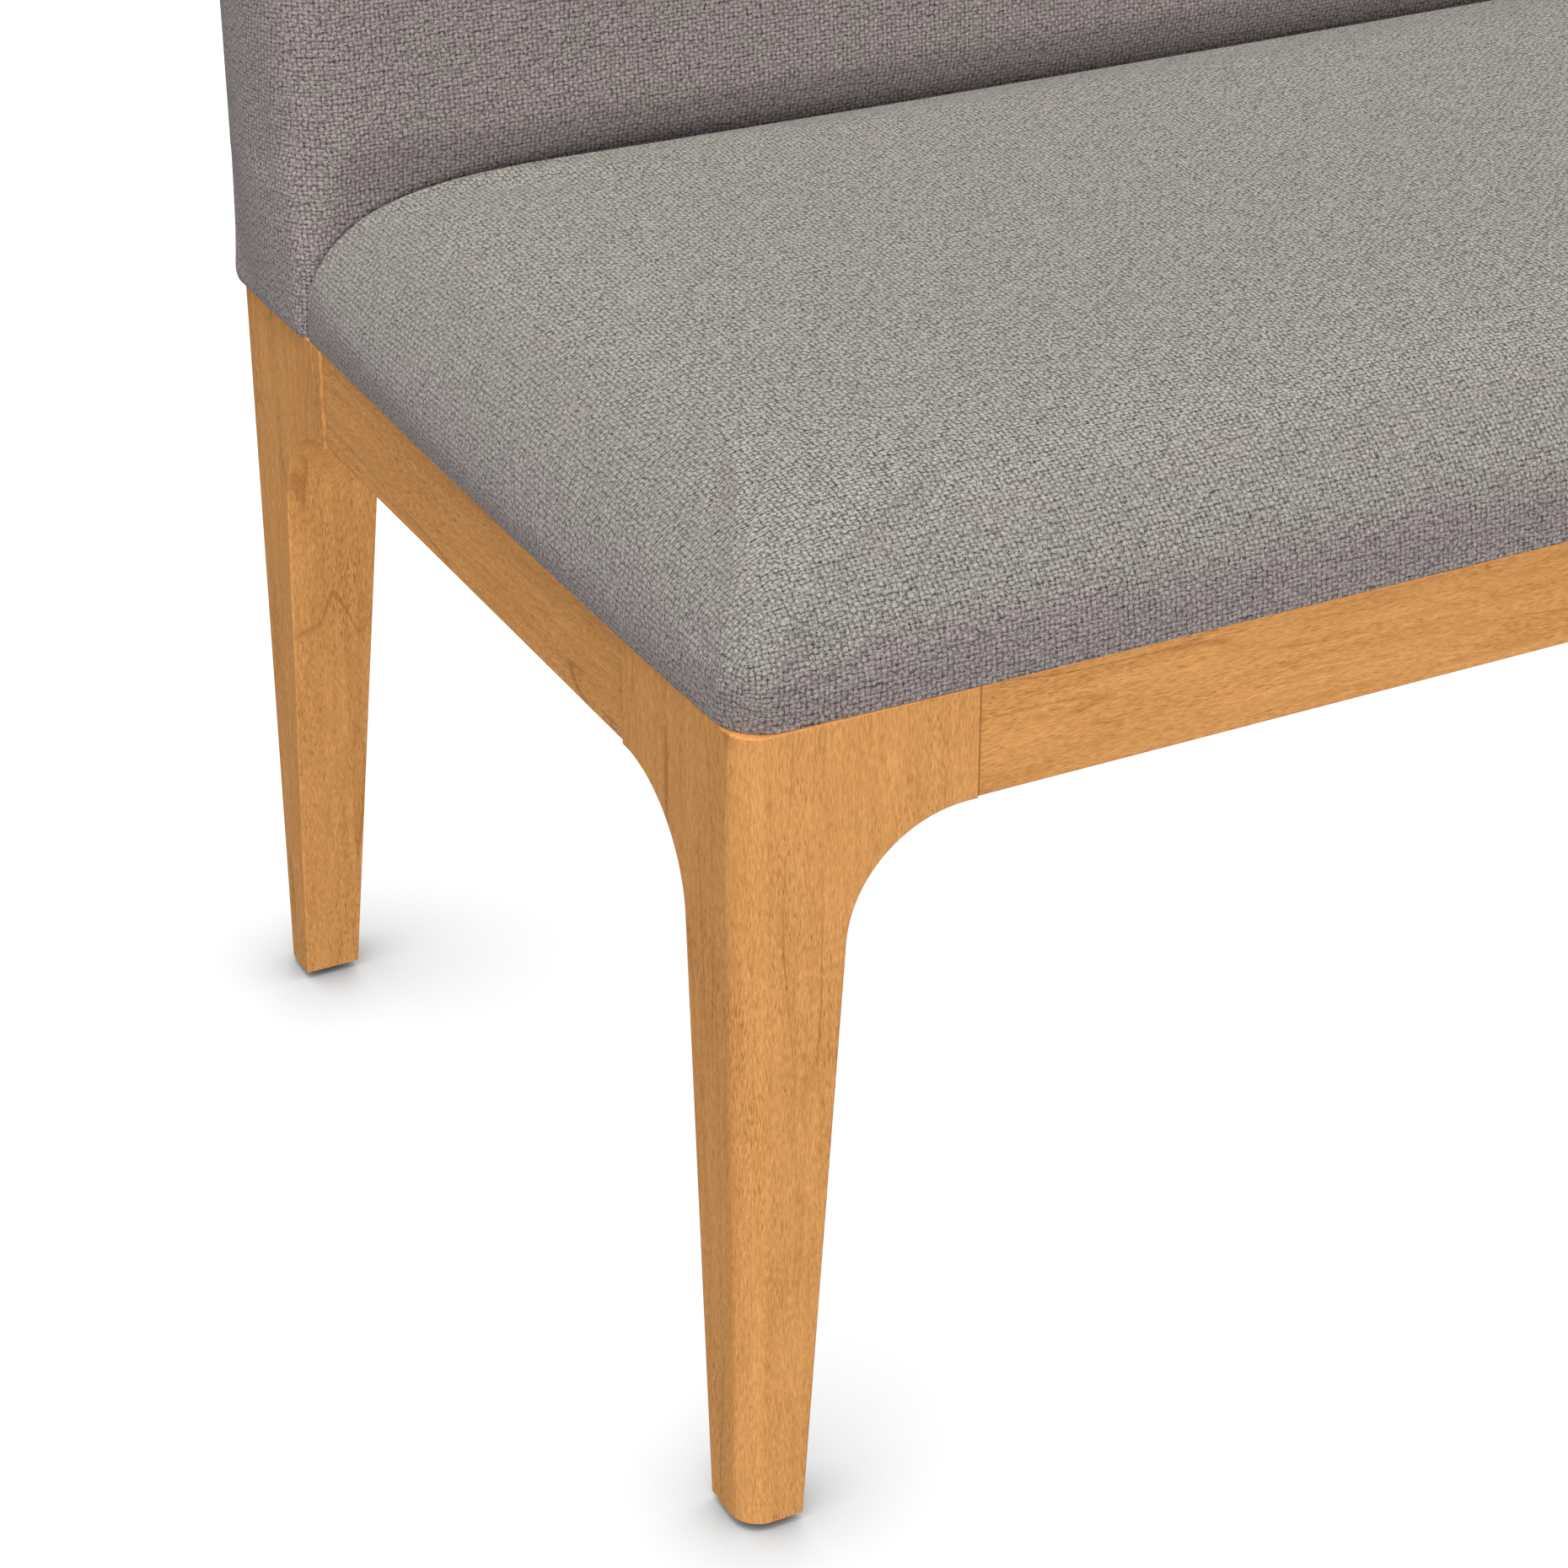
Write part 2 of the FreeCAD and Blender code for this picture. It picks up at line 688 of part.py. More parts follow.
def back_screws(grow=0.0):
    """Screws from behind, one at each crossing of a back rail with a post."""
    centres = [stile_left_edge(side) + stile_width / 2 for side in STILES.values()]
    centres += [side * (stile_outer - end_post_width / 2) for side in (-1, 1)]
    length = back_rail_thickness - screw_head_height + 0.6 * (stile_top_depth - back_rail_thickness)
    return [screw((x, stile_rear, low + back_rail_height / 2), (0, -1, 0), length, grow)
            for x in centres for low in back_rail_levels().values()]


def back_straps():
    """Webbing across the front of the stiles, leaning with them."""
    lean = math.degrees(math.atan(stile_taper))
    found = []
    for z in spread(back_strap_count, back_frame_bottom, back_frame_top):
        strap = box((-stile_outer, -strap_thickness, -strap_width / 2), (stile_outer, 0, strap_width / 2))
        strap.rotate(V(0, 0, 0), V(1, 0, 0), -lean)
        strap.translate(V(0, stile_face(z), z))
        found.append(strap)
    return found


def back_foam():
    """The foam slab in front of the back frame, crowned like the back."""
    whole = back_form(cover_thickness + layer_gap, back_frame_bottom)
    low = back_frame_bottom + seat_gap
    front = strap_thickness + seat_gap
    keep = prism([(-back_half, back_foot - 2 * back_crown, low),
                  (-back_half, stile_face(low) - front, low),
                  (-back_half, stile_face(back_frame_top) - front, back_frame_top),
                  (-back_half, stile_face(back_frame_top) - front, back_top),
                  (-back_half, back_foot - 2 * back_crown, back_top)], (2 * back_half, 0, 0))
    return whole.common(keep)


def back_panel():
    """Thin board over the rear of the back frame."""
    return box((-stile_outer, stile_rear, back_frame_bottom),
               (stile_outer, stile_rear + back_panel_thickness, back_frame_top))


def back_wadding():
    """Wadding behind the board, up to the cover."""
    whole = back_form(cover_thickness + layer_gap, back_frame_bottom)
    keep = box((-stile_outer, stile_rear + back_panel_thickness + seat_gap, back_frame_bottom + seat_gap),
               (stile_outer, back_rear, back_frame_top))
    return whole.common(keep)


def back_cover():
    """Fabric of the back, closed under the back frame except where the stiles' tongues pass."""
    lefts = [stile_left_edge(side) for side in STILES.values()]
    return fabric_shell(back_form, [((left - tongue_slit, stile_front - tongue_slit),
                                     (left + stile_width + tongue_slit, tongue_rear + tongue_slit)) for left in lefts])


def back_bolts():
    """Bolts from inside, through the tongues, into the inserts of the rear rail."""
    found = []
    for x, z in bolt_places():
        seat = stile_front - washer_thickness
        head = rod((x, seat - bolt_head_height, z), (0, 1, 0), bolt_head_radius, bolt_head_height)
        shank = rod((x, seat, z), (0, 1, 0), bolt_radius, washer_thickness + tongue_thickness + bolt_bite)
        key = prism([(x + 2.9 * math.cos(math.radians(60 * i)), seat - bolt_head_height,
                      z + 2.9 * math.sin(math.radians(60 * i))) for i in range(6)], (0, 3.0, 0))
        found.append(head.cut(key).fuse(shank).removeSplitter())
    return found


def back_washers():
    """A washer under each bolt head."""
    return [rod((x, stile_front - washer_thickness, z), (0, 1, 0), washer_radius, washer_thickness)
            .cut(rod((x, stile_front - washer_thickness - 1, z), (0, 1, 0), bolt_radius + dowel_clearance, 5))
            for x, z in bolt_places()]


def insert_sleeve(x, z, radius, bore):
    """A sleeve let into the inner face of the rear rail, or the hole for it."""
    sleeve = rod((x, tongue_rear, z), (0, 1, 0), radius, bolt_bite + 1.0)
    return sleeve.cut(rod((x, tongue_rear - 1, z), (0, 1, 0), bore, bolt_bite + 3.0)) if bore else sleeve


def rear_rail():
    """The rear rail with the holes for the back's inserts."""
    shape = long_rail(True)
    for x, z in bolt_places():
        shape = shape.cut(insert_sleeve(x, z, bolt_insert_radius, 0))
    return shape


# Assembly
for corner, (flip_x, flip_y) in CORNERS.items():
    shapes["leg_" + corner] = mirrored(make_leg(), flip_x, flip_y)
    shapes["corner_block_" + corner] = mirrored(corner_block(not flip_y), flip_x, flip_y)
    shapes["glide_pad_" + corner] = mirrored(glide_pad(), flip_x, flip_y)
    shapes["glide_stud_" + corner] = mirrored(glide_stud(), flip_x, flip_y)

shapes["rail_front"] = long_rail(False)
shapes["rail_rear"] = rear_rail()
shapes["rail_left"] = side_rail(False)
shapes["rail_right"] = side_rail(True)
shapes["bearer_left"] = bearer(-bearer_offset)
shapes["bearer_right"] = bearer(bearer_offset)
shapes.update(seat_frame_parts())
for name, side in STILES.items():
    shapes["back_stile_" + name] = back_stile(side)
shapes["back_end_post_left"] = upright(-stile_outer, end_post_width)
shapes["back_end_post_right"] = upright(stile_outer - end_post_width, end_post_width)
for name in back_rail_levels():
    shapes[name] = bored_back_rail(name)
shapes["seat_cover"] = seat_cover()
shapes["seat_wadding"] = seat_wadding()
shapes["seat_foam"] = seat_foam()
shapes["dust_cover"] = dust_cover()
shapes["back_cover"] = back_cover()
shapes["back_foam"] = back_foam()
shapes["back_panel"] = back_panel()
shapes["back_wadding"] = back_wadding()

groups = {
    "rail_dowels": [mirrored(d, *flips) for flips in CORNERS.values() for d in arm_dowels(0.0, 0.0)],
    "bearer_dowels": bearer_dowels(0.0, 0.0),
    "block_screws": [mirrored(s, *flips) for flips in CORNERS.values() for s in block_screws()],
    "seat_screws": seat_screws(),
    "glide_inserts": [mirrored(glide_insert(), *flips) for flips in CORNERS.values()],
    "seat_frame_dowels": seat_frame_dowels(0.0, 0.0),
    "seat_webbing_cross": cross_straps(),
    "seat_webbing_long": long_straps(),
    "back_frame_screws": back_screws(),
    "back_webbing": back_straps(),
    "back_bolts": back_bolts(),
    "back_washers": back_washers(),
    "back_inserts": [insert_sleeve(x, z, bolt_insert_radius - running_gap, bolt_radius + running_gap)
                     for x, z in bolt_places()],
}
for name, solids in groups.items():
    shapes[name] = Part.makeCompound(solids)

os.makedirs("parts", exist_ok=True)
for name, shape in shapes.items():
    shape.exportStep(os.path.join("parts", name + ".step"))
    print(f"{name:24s} {len(shape.Solids):3d} solids {shape.Volume / 1000:10.1f} cm3 valid {shape.isValid()}")
whole = Part.makeCompound(list(shapes.values())).BoundBox
print(f"whole {whole.XMin:.2f} {whole.YMin:.2f} {whole.ZMin:.2f} to {whole.XMax:.2f} {whole.YMax:.2f} {whole.ZMax:.2f}")
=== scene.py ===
# %% [markdown]
# A dining banquette: a golden timber base, a padded seat and a padded back in a coarse grey weave.
# The frame holds every hard piece at its real size. This lesson dresses it: it gives the timber its grain,
# makes the two upholstered forms as soft meshes, and adds the black cloth and its staples below.

import json
import math

import bmesh
import bpy
import numpy as np
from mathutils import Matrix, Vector


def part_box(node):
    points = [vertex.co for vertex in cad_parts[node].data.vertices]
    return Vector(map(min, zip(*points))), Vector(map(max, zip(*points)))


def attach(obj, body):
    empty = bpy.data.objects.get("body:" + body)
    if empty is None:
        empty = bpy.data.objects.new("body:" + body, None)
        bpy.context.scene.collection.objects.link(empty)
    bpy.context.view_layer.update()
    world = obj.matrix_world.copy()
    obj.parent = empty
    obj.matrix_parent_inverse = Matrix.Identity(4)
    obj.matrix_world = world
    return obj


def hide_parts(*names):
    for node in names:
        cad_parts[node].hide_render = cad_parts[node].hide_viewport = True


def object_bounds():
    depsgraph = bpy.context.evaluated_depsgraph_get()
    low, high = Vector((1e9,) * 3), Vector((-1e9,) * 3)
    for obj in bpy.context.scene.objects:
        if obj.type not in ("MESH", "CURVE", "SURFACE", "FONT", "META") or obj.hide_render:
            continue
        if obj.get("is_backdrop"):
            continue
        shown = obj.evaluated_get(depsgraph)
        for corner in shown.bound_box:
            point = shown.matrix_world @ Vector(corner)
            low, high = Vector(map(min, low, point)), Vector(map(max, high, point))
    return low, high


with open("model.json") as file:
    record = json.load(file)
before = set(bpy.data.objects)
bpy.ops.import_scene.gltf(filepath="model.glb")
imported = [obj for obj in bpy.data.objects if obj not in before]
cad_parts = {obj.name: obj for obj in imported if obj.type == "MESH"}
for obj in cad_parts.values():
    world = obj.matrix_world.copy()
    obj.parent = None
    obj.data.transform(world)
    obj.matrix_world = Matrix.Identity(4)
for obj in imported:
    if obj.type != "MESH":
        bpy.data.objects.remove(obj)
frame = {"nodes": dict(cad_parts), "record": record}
nodes = frame["nodes"]
cad_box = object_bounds()
BENCH = "bench"
MM = 0.001

# %% [markdown]
# The camera stands off the front left corner and looks down on it, as a catalogue close-up does.
# Its place is written from that corner of the base: how far left of it, how far in front, how high.
# A long lens on a square frame keeps the legs almost parallel.

# %% Camera
base_low = Vector((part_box("leg_front_left")[0].x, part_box("leg_front_left")[0].y, 0.0))
CAMERA_LEFT = 607.8 * MM
CAMERA_FRONT = 1207.5 * MM
CAMERA_HEIGHT = 1136.4 * MM
CAMERA_TURN = 27.462
CAMERA_DIP = 29.159
LENS = 90.0
SENSOR = 36.0

camera_data = bpy.data.cameras.new("corner_camera")
camera_data.lens = LENS
camera_data.sensor_width = SENSOR
camera_data.clip_end = 50.0
camera = bpy.data.objects.new("corner_camera", camera_data)
camera.location = base_low + Vector((-CAMERA_LEFT, -CAMERA_FRONT, CAMERA_HEIGHT))
camera.rotation_euler = (math.radians(90.0 - CAMERA_DIP), 0.0, math.radians(-CAMERA_TURN))
bpy.context.scene.collection.objects.link(camera)
bpy.context.scene.camera = camera
bpy.context.scene.view_settings.view_transform = "Standard"
print("camera at", [round(c, 3) for c in camera.location])

# %% [markdown]
# Node trees are long to write by hand, so a few helpers keep them readable.
# `wire` feeds a socket from another node or sets it to a constant, and each of the others adds one node
# and gives back its output.


# %% Helpers for node trees
def wire(tree, socket, value):
    """Feeds a socket from another node's output, or sets it to a constant."""
    if isinstance(value, bpy.types.NodeSocket):
        tree.links.new(value, socket)
    else:
        socket.default_value = value


def calc(tree, operation, *values):
    """One step of arithmetic."""
    step = tree.nodes.new("ShaderNodeMath")
    step.operation = operation
    for socket, value in zip(step.inputs, values):
        wire(tree, socket, value)
    return step.outputs[0]


def vector_calc(tree, operation, *values):
    """One step of arithmetic on vectors."""
    step = tree.nodes.new("ShaderNodeVectorMath")
    step.operation = operation
    for socket, value in zip(step.inputs, values):
        wire(tree, socket, value)
    return step.outputs[0]


def cloud(tree, vector, scale, detail=2.0, roughness=0.5):
    """Smooth noise from 0 to 1."""
    texture = tree.nodes.new("ShaderNodeTexNoise")
    wire(tree, texture.inputs["Vector"], vector)
    texture.inputs["Scale"].default_value = scale
    texture.inputs["Detail"].default_value = detail
    texture.inputs["Roughness"].default_value = roughness
    return texture.outputs[0]


def spread(tree, value, low, high, to_low=0.0, to_high=1.0):
    """Stretches a value from one range to another, clamped at the ends."""
    step = tree.nodes.new("ShaderNodeMapRange")
    for socket, given in zip(step.inputs, (value, low, high, to_low, to_high)):
        wire(tree, socket, given)
    return step.outputs[0]


def blend_colour(tree, factor, first, second, mode="MIX"):
    """Mixes two colours."""
    step = tree.nodes.new("ShaderNodeMix")
    step.data_type = "RGBA"
    step.blend_type = mode
    wire(tree, step.inputs[0], factor)
    wire(tree, step.inputs[6], first)
    wire(tree, step.inputs[7], second)
    return step.outputs[2]


def new_group(name, inputs, outputs):
    """An empty shader group with named sockets, and its inner ends."""
    group = bpy.data.node_groups.new(name, "ShaderNodeTree")
    for label, kind in inputs:
        group.interface.new_socket(label, in_out="INPUT", socket_type=kind)
    for label, kind in outputs:
        group.interface.new_socket(label, in_out="OUTPUT", socket_type=kind)
    return group, group.nodes.new("NodeGroupInput"), group.nodes.new("NodeGroupOutput")


def new_material(name, **fixed):
    """A material with one Principled shader, whose plain sockets are set directly."""
    material = bpy.data.materials.new(name)
    material.use_nodes = True
    shader = material.node_tree.nodes["Principled BSDF"]
    for label, value in fixed.items():
        shader.inputs[label.replace("_", " ").title().replace("Ior", "IOR")].default_value = value
    return material, material.node_tree, shader


def bump(tree, height, strength, distance):
    """Turns a height into a bent normal."""
    step = tree.nodes.new("ShaderNodeBump")
    step.inputs["Strength"].default_value = strength
    step.inputs["Distance"].default_value = distance
    wire(tree, step.inputs["Height"], height)
    return step.outputs[0]


def place_group(tree, group, **values):
    """Places a shader group in a tree and feeds its inputs."""
    step = tree.nodes.new("ShaderNodeGroup")
    step.node_tree = group
    for label, value in values.items():
        wire(tree, step.inputs[label.replace("_", " ").capitalize()], value)
    return step


print("helpers ready")

# %% [markdown]
# The room is a white studio. To the lamps the floor is grey card, which throws a little light back up.
# To the camera it glows white instead, and the glow dims close to anything that stands on the floor, so
# it reads as white paper and keeps the soft contact shade of each foot. Mirrored rays see plain white.
# From below the floor is clear, so that the underside can be looked at.
# One wide lamp hangs overhead, a weaker one stands in front and to the left, and the weakest one behind.
# So the seat's top is the lightest face, the front comes next, and the left side is darker.
# A lamp's level is what it gives a surface that faces it. Where the levels that reach a surface add up to
# one, its colour renders as it is written.

# %% Floor
WHITE = (1.0, 1.0, 1.0, 1.0)
FLOOR_HALF = 6.0
FLOOR_DROP = 0.2 * MM
FLOOR_BOUNCE = (0.30, 0.30, 0.30, 1.0)
FLOOR_SHADE = (0.14, 0.14, 0.14, 1.0)
FLOOR_GLOW = 0.95
CONTACT_REACH = 0.13
CONTACT_DEPTH = 1.5


def plain_shader(tree, kind, colour):
    """A diffuse, glowing or clear shader of one colour."""
    step = tree.nodes.new("ShaderNode" + kind)
    step.inputs["Color"].default_value = colour
    return step


def mix_shaders(tree, factor, first, second):
    """Shows the first shader where the factor is 0 and the second where it is 1."""
    step = tree.nodes.new("ShaderNodeMixShader")
    for socket, output in zip(step.inputs, (factor, first, second)):
        tree.links.new(output, socket)
    return step.outputs[0]


def mirrored_ray(tree, path):
    """One for a ray that the camera sees mirrored or through glass."""
    return calc(tree, "MAXIMUM", path.outputs["Is Glossy Ray"], path.outputs["Is Transmission Ray"])


def paper_material():
    """Glowing paper for the camera, white for mirrored rays, grey card for the rest, clear from below."""
    material = bpy.data.materials.new("white_paper")
    material.use_nodes = True
    tree = material.node_tree
    tree.nodes.clear()
    near = tree.nodes.new("ShaderNodeAmbientOcclusion")
    near.inputs["Distance"].default_value = CONTACT_REACH
    contact = calc(tree, "POWER", near.outputs["AO"], CONTACT_DEPTH)
    glow = plain_shader(tree, "Emission", WHITE)
    wire(tree, glow.inputs["Strength"], calc(tree, "MULTIPLY", contact, FLOOR_GLOW))
    shade = plain_shader(tree, "BsdfDiffuse", FLOOR_SHADE)
    paper = tree.nodes.new("ShaderNodeAddShader")
    tree.links.new(shade.outputs[0], paper.inputs[0])
    tree.links.new(glow.outputs[0], paper.inputs[1])
    path = tree.nodes.new("ShaderNodeLightPath")
    bounce = plain_shader(tree, "BsdfDiffuse", FLOOR_BOUNCE)
    white = plain_shader(tree, "Emission", WHITE)
    other = mix_shaders(tree, mirrored_ray(tree, path), bounce.outputs[0], white.outputs[0])
    above = mix_shaders(tree, path.outputs["Is Camera Ray"], other, paper.outputs[0])
    side = tree.nodes.new("ShaderNodeNewGeometry")
    clear = plain_shader(tree, "BsdfTransparent", WHITE)
    shown = mix_shaders(tree, side.outputs["Backfacing"], above, clear.outputs[0])
    out = tree.nodes.new("ShaderNodeOutputMaterial")
    tree.links.new(shown, out.inputs[0])
    return material


def studio_floor():
    """A wide sheet just under the glides."""
    mesh = bpy.data.meshes.new("studio_floor")
    h, z = FLOOR_HALF, -FLOOR_DROP
    mesh.from_pydata([(-h, -h, z), (h, -h, z), (h, h, z), (-h, h, z)], [], [(0, 1, 2, 3)])
    mesh.materials.append(paper_material())
    floor = bpy.data.objects.new("studio_floor", mesh)
    bpy.context.scene.collection.objects.link(floor)
    floor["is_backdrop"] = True


studio_floor()
print("floor:", 2 * FLOOR_HALF, "m wide")

# %% World and lamps
ROOM_LIGHT = 0.22
LIT_POINT = Vector((-0.3, 0.0, 0.4))


def studio_world():
    """Even white light from all round, shown as plain white."""
    world = bpy.data.worlds.new("studio_world")
    bpy.context.scene.world = world
    world.use_nodes = True
    tree = world.node_tree
    background = tree.nodes["Background"]
    background.inputs["Color"].default_value = WHITE
    path = tree.nodes.new("ShaderNodeLightPath")
    seen = calc(tree, "MAXIMUM", path.outputs["Is Camera Ray"], mirrored_ray(tree, path))
    wire(tree, background.inputs["Strength"], spread(tree, seen, 0.0, 1.0, ROOM_LIGHT, 1.0))


def soft_lamp(name, turn, lift, distance, size, level):
    """A square soft box that faces the bench, so many degrees right of its front and above the floor."""
    data = bpy.data.lights.new(name, "AREA")
    data.shape = "SQUARE"
    data.size = size
    data.energy = level * (math.pi * distance) ** 2
    lamp = bpy.data.objects.new(name, data)
    turn, lift = math.radians(turn), math.radians(lift)
    out = Vector((math.sin(turn) * math.cos(lift), -math.cos(turn) * math.cos(lift), math.sin(lift)))
    lamp.location = LIT_POINT + distance * out
    lamp.rotation_euler = (-out).to_track_quat("-Z", "Y").to_euler()
    bpy.context.scene.collection.objects.link(lamp)


studio_world()
soft_lamp("overhead_lamp", turn=-60.0, lift=80.0, distance=5.0, size=2.3, level=1.16)
soft_lamp("front_lamp", turn=-26.0, lift=8.0, distance=8.0, size=3.6, level=0.71)
soft_lamp("rear_lamp", turn=150.0, lift=25.0, distance=8.0, size=3.6, level=0.50)
print("studio lit")

# %% [markdown]
# The timber is a pale hardwood under a golden satin oil. Close up it has faint bands a finger wide,
# narrower streaks, short flecks of fibre, dark pores that gather in places, and here and there a thin
# vein where a growth ring comes to the surface. All of them are long in the grain's direction, so one
# group draws them along its own Z, and each material turns the object's coordinates so that Z follows
# the board: up the legs, along the rails.

# %% Timber grain group
BANDS_PER_M = 75.0
STREAKS_PER_M = 260.0
FLECKS_PER_M = 1800.0
PORES_PER_M = 2000.0
PATCHES_PER_M = 38.0
RINGS_PER_M = 34.0
VEINS_PER_RING = 5.0
GRAIN_STRETCH = 0.05
FLECK_STRETCH = 0.12
PATCH_STRETCH = 0.25
RING_STRETCH = 0.11
DRIFT_STRETCH = 0.35
DRIFTS_PER_M = 9.0
DRIFT_REACH = 0.009


def stretched(group, vector, share):
    """Coordinates squeezed along Z, so that what is drawn on them comes out long."""
    return vector_calc(group, "MULTIPLY", vector, (1.0, 1.0, share))


def timber_grain_group():
    """Marks of the grain that run along Z, from object coordinates in metres."""
    group, given, made = new_group(
        "timber_grain",
        [("Vector", "NodeSocketVector"), ("Pore share", "NodeSocketFloat")],
        [("Bands", "NodeSocketFloat"), ("Streaks", "NodeSocketFloat"), ("Fibres", "NodeSocketFloat"),
         ("Pores", "NodeSocketFloat"), ("Veins", "NodeSocketFloat")],
    )
    place = given.outputs["Vector"]
    drift = cloud(group, stretched(group, place, DRIFT_STRETCH), DRIFTS_PER_M, 1.0)
    bend = calc(group, "MULTIPLY", calc(group, "SUBTRACT", drift, 0.5), DRIFT_REACH)
    lean = group.nodes.new("ShaderNodeCombineXYZ")
    wire(group, lean.inputs[0], bend)
    wire(group, lean.inputs[1], bend)
    bent = vector_calc(group, "ADD", place, lean.outputs[0])
    along = stretched(group, bent, GRAIN_STRETCH)
    fleck = stretched(group, bent, FLECK_STRETCH)
    wire(group, made.inputs["Bands"], cloud(group, along, BANDS_PER_M, 3.0, 0.55))
    wire(group, made.inputs["Streaks"], cloud(group, along, STREAKS_PER_M, 2.0, 0.5))
    wire(group, made.inputs["Fibres"], cloud(group, fleck, FLECKS_PER_M, 2.0, 0.6))
    pores = cloud(group, fleck, PORES_PER_M, 1.0, 0.4)
    patches = cloud(group, stretched(group, place, PATCH_STRETCH), PATCHES_PER_M, 2.0)
    level = calc(group, "ADD", calc(group, "MULTIPLY", patches, given.outputs["Pore share"]), pores)
    wire(group, made.inputs["Pores"], spread(group, level, 0.86, 1.02))
    rings = cloud(group, stretched(group, place, RING_STRETCH), RINGS_PER_M, 1.0, 0.3)
    turns = calc(group, "FRACT", calc(group, "MULTIPLY", rings, VEINS_PER_RING))
    off_line = calc(group, "ABSOLUTE", calc(group, "SUBTRACT", turns, 0.5))
    line = spread(group, off_line, 0.01, 0.045, 1.0, 0.0)
    wire(group, made.inputs["Veins"], calc(group, "MULTIPLY", line, spread(group, patches, 0.42, 0.62)))
    return group


timber_grain = timber_grain_group()
print("timber grain group:", len(timber_grain.nodes), "nodes")

# %% [markdown]
# Boards share that group with their grain turned three ways. The colours are golden: a light tone, a
# honey tone in the darker flecks, and brown in the pores and veins. The pores sink a little and the
# flecks change the sheen, which keeps the satin from looking like plastic. A rail also gets a thin dark
# line at each end, painted shade where it meets the arm of a leg.

# %% Timber materials
GOLD_LIGHT = (0.850, 0.430, 0.155, 1.0)
GOLD_HONEY = (0.480, 0.204, 0.056, 1.0)
PORE_BROWN = (0.330, 0.125, 0.035, 1.0)
# painted shade for the joints at the rail ends
JOINT_SHADE_BROWN = (0.200, 0.080, 0.025, 1.0)
RAW_LIGHT = (0.62, 0.47, 0.30, 1.0)
RAW_HONEY = (0.50, 0.36, 0.21, 1.0)
RAW_PORE = (0.33, 0.22, 0.12, 1.0)
BAND_SHARE = 0.08
STREAK_SHARE = 0.25
FLECK_SHARE = 0.67
PORE_STRENGTH = 0.7
VEIN_STRENGTH = 0.5
JOINT_SHADE_STRIP = (1.1 * MM, 0.6 * MM)
QUARTER = math.radians(90.0)
GRAIN_TURN = {"x": (0.0, QUARTER, 0.0), "y": (QUARTER, 0.0, 0.0), "z": (0.0, 0.0, 0.0)}


def joint_shade_line(tree, place, axis, first, last):
    """One in the last strip of a board before its ends, where painted shade marks the joint."""
    parts = tree.nodes.new("ShaderNodeSeparateXYZ")
    wire(tree, parts.inputs[0], place)
    from_middle = calc(tree, "SUBTRACT", parts.outputs["xyz".index(axis)], (first + last) / 2)
    half = (last - first) / 2
    return spread(tree, calc(tree, "ABSOLUTE", from_middle), *[half - strip for strip in JOINT_SHADE_STRIP])


def timber(name, axis, light, honey, brown, pore_share, roughness, ends=None):
    """A timber finish with its grain along one axis of the bench, and a painted shade line at any ends given.
    """
    material, tree, shader = new_material(name, ior=1.2, specular_ior_level=0.04)
    coordinates = tree.nodes.new("ShaderNodeTexCoord")
    turn = tree.nodes.new("ShaderNodeMapping")
    turn.inputs["Rotation"].default_value = GRAIN_TURN[axis]
    wire(tree, turn.inputs["Vector"], coordinates.outputs["Object"])
    grain = place_group(tree, timber_grain, vector=turn.outputs[0], pore_share=pore_share)
    bands = spread(tree, grain.outputs["Bands"], 0.34, 0.68)
    fibres = spread(tree, grain.outputs["Fibres"], 0.3, 0.7)
    streaks = spread(tree, grain.outputs["Streaks"], 0.3, 0.7)
    broad = calc(tree, "ADD", calc(tree, "MULTIPLY", bands, BAND_SHARE),
                 calc(tree, "MULTIPLY", streaks, STREAK_SHARE))
    tone = calc(tree, "ADD", broad, calc(tree, "MULTIPLY", fibres, FLECK_SHARE))
    wood = blend_colour(tree, tone, light, honey)
    pores = calc(tree, "MULTIPLY", grain.outputs["Pores"], PORE_STRENGTH)
    wood = blend_colour(tree, pores, wood, brown)
    veins = calc(tree, "MULTIPLY", grain.outputs["Veins"], VEIN_STRENGTH)
    wood = blend_colour(tree, veins, wood, brown)
    if ends:
        # painted shade: a thin dark line at each end of a rail, where it meets a leg's arm
        joint_shade = joint_shade_line(tree, coordinates.outputs["Object"], axis, *ends)
        wood = blend_colour(tree, joint_shade, wood, JOINT_SHADE_BROWN)
    wire(tree, shader.inputs["Base Color"], wood)
    wire(tree, shader.inputs["Roughness"],
         calc(tree, "ADD", calc(tree, "MULTIPLY", fibres, 0.12), roughness))
    height = calc(tree, "SUBTRACT", calc(tree, "MULTIPLY", fibres, 0.3), pores)
    wire(tree, shader.inputs["Normal"], bump(tree, height, 0.25, 0.0002))
    return material


GOLDEN = dict(light=GOLD_LIGHT, honey=GOLD_HONEY, brown=PORE_BROWN, pore_share=0.5, roughness=0.42)
RAW = dict(light=RAW_LIGHT, honey=RAW_HONEY, brown=RAW_PORE, pore_share=0.4, roughness=0.6)
golden = {axis: timber("golden_timber_" + axis, axis, **GOLDEN) for axis in GRAIN_TURN}
raw = {axis: timber("raw_timber_" + axis, axis, **RAW) for axis in GRAIN_TURN}
rail_ends = {axis: [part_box(rail)[i]["xyz".index(axis)] for i in (0, 1)]
             for axis, rail in (("x", "rail_front"), ("y", "rail_left"))}
golden_rail = {axis: timber("golden_rail_" + axis, axis, ends=ends, **GOLDEN)
               for axis, ends in rail_ends.items()}
print("timber finishes:", len(golden) + len(raw) + len(golden_rail))

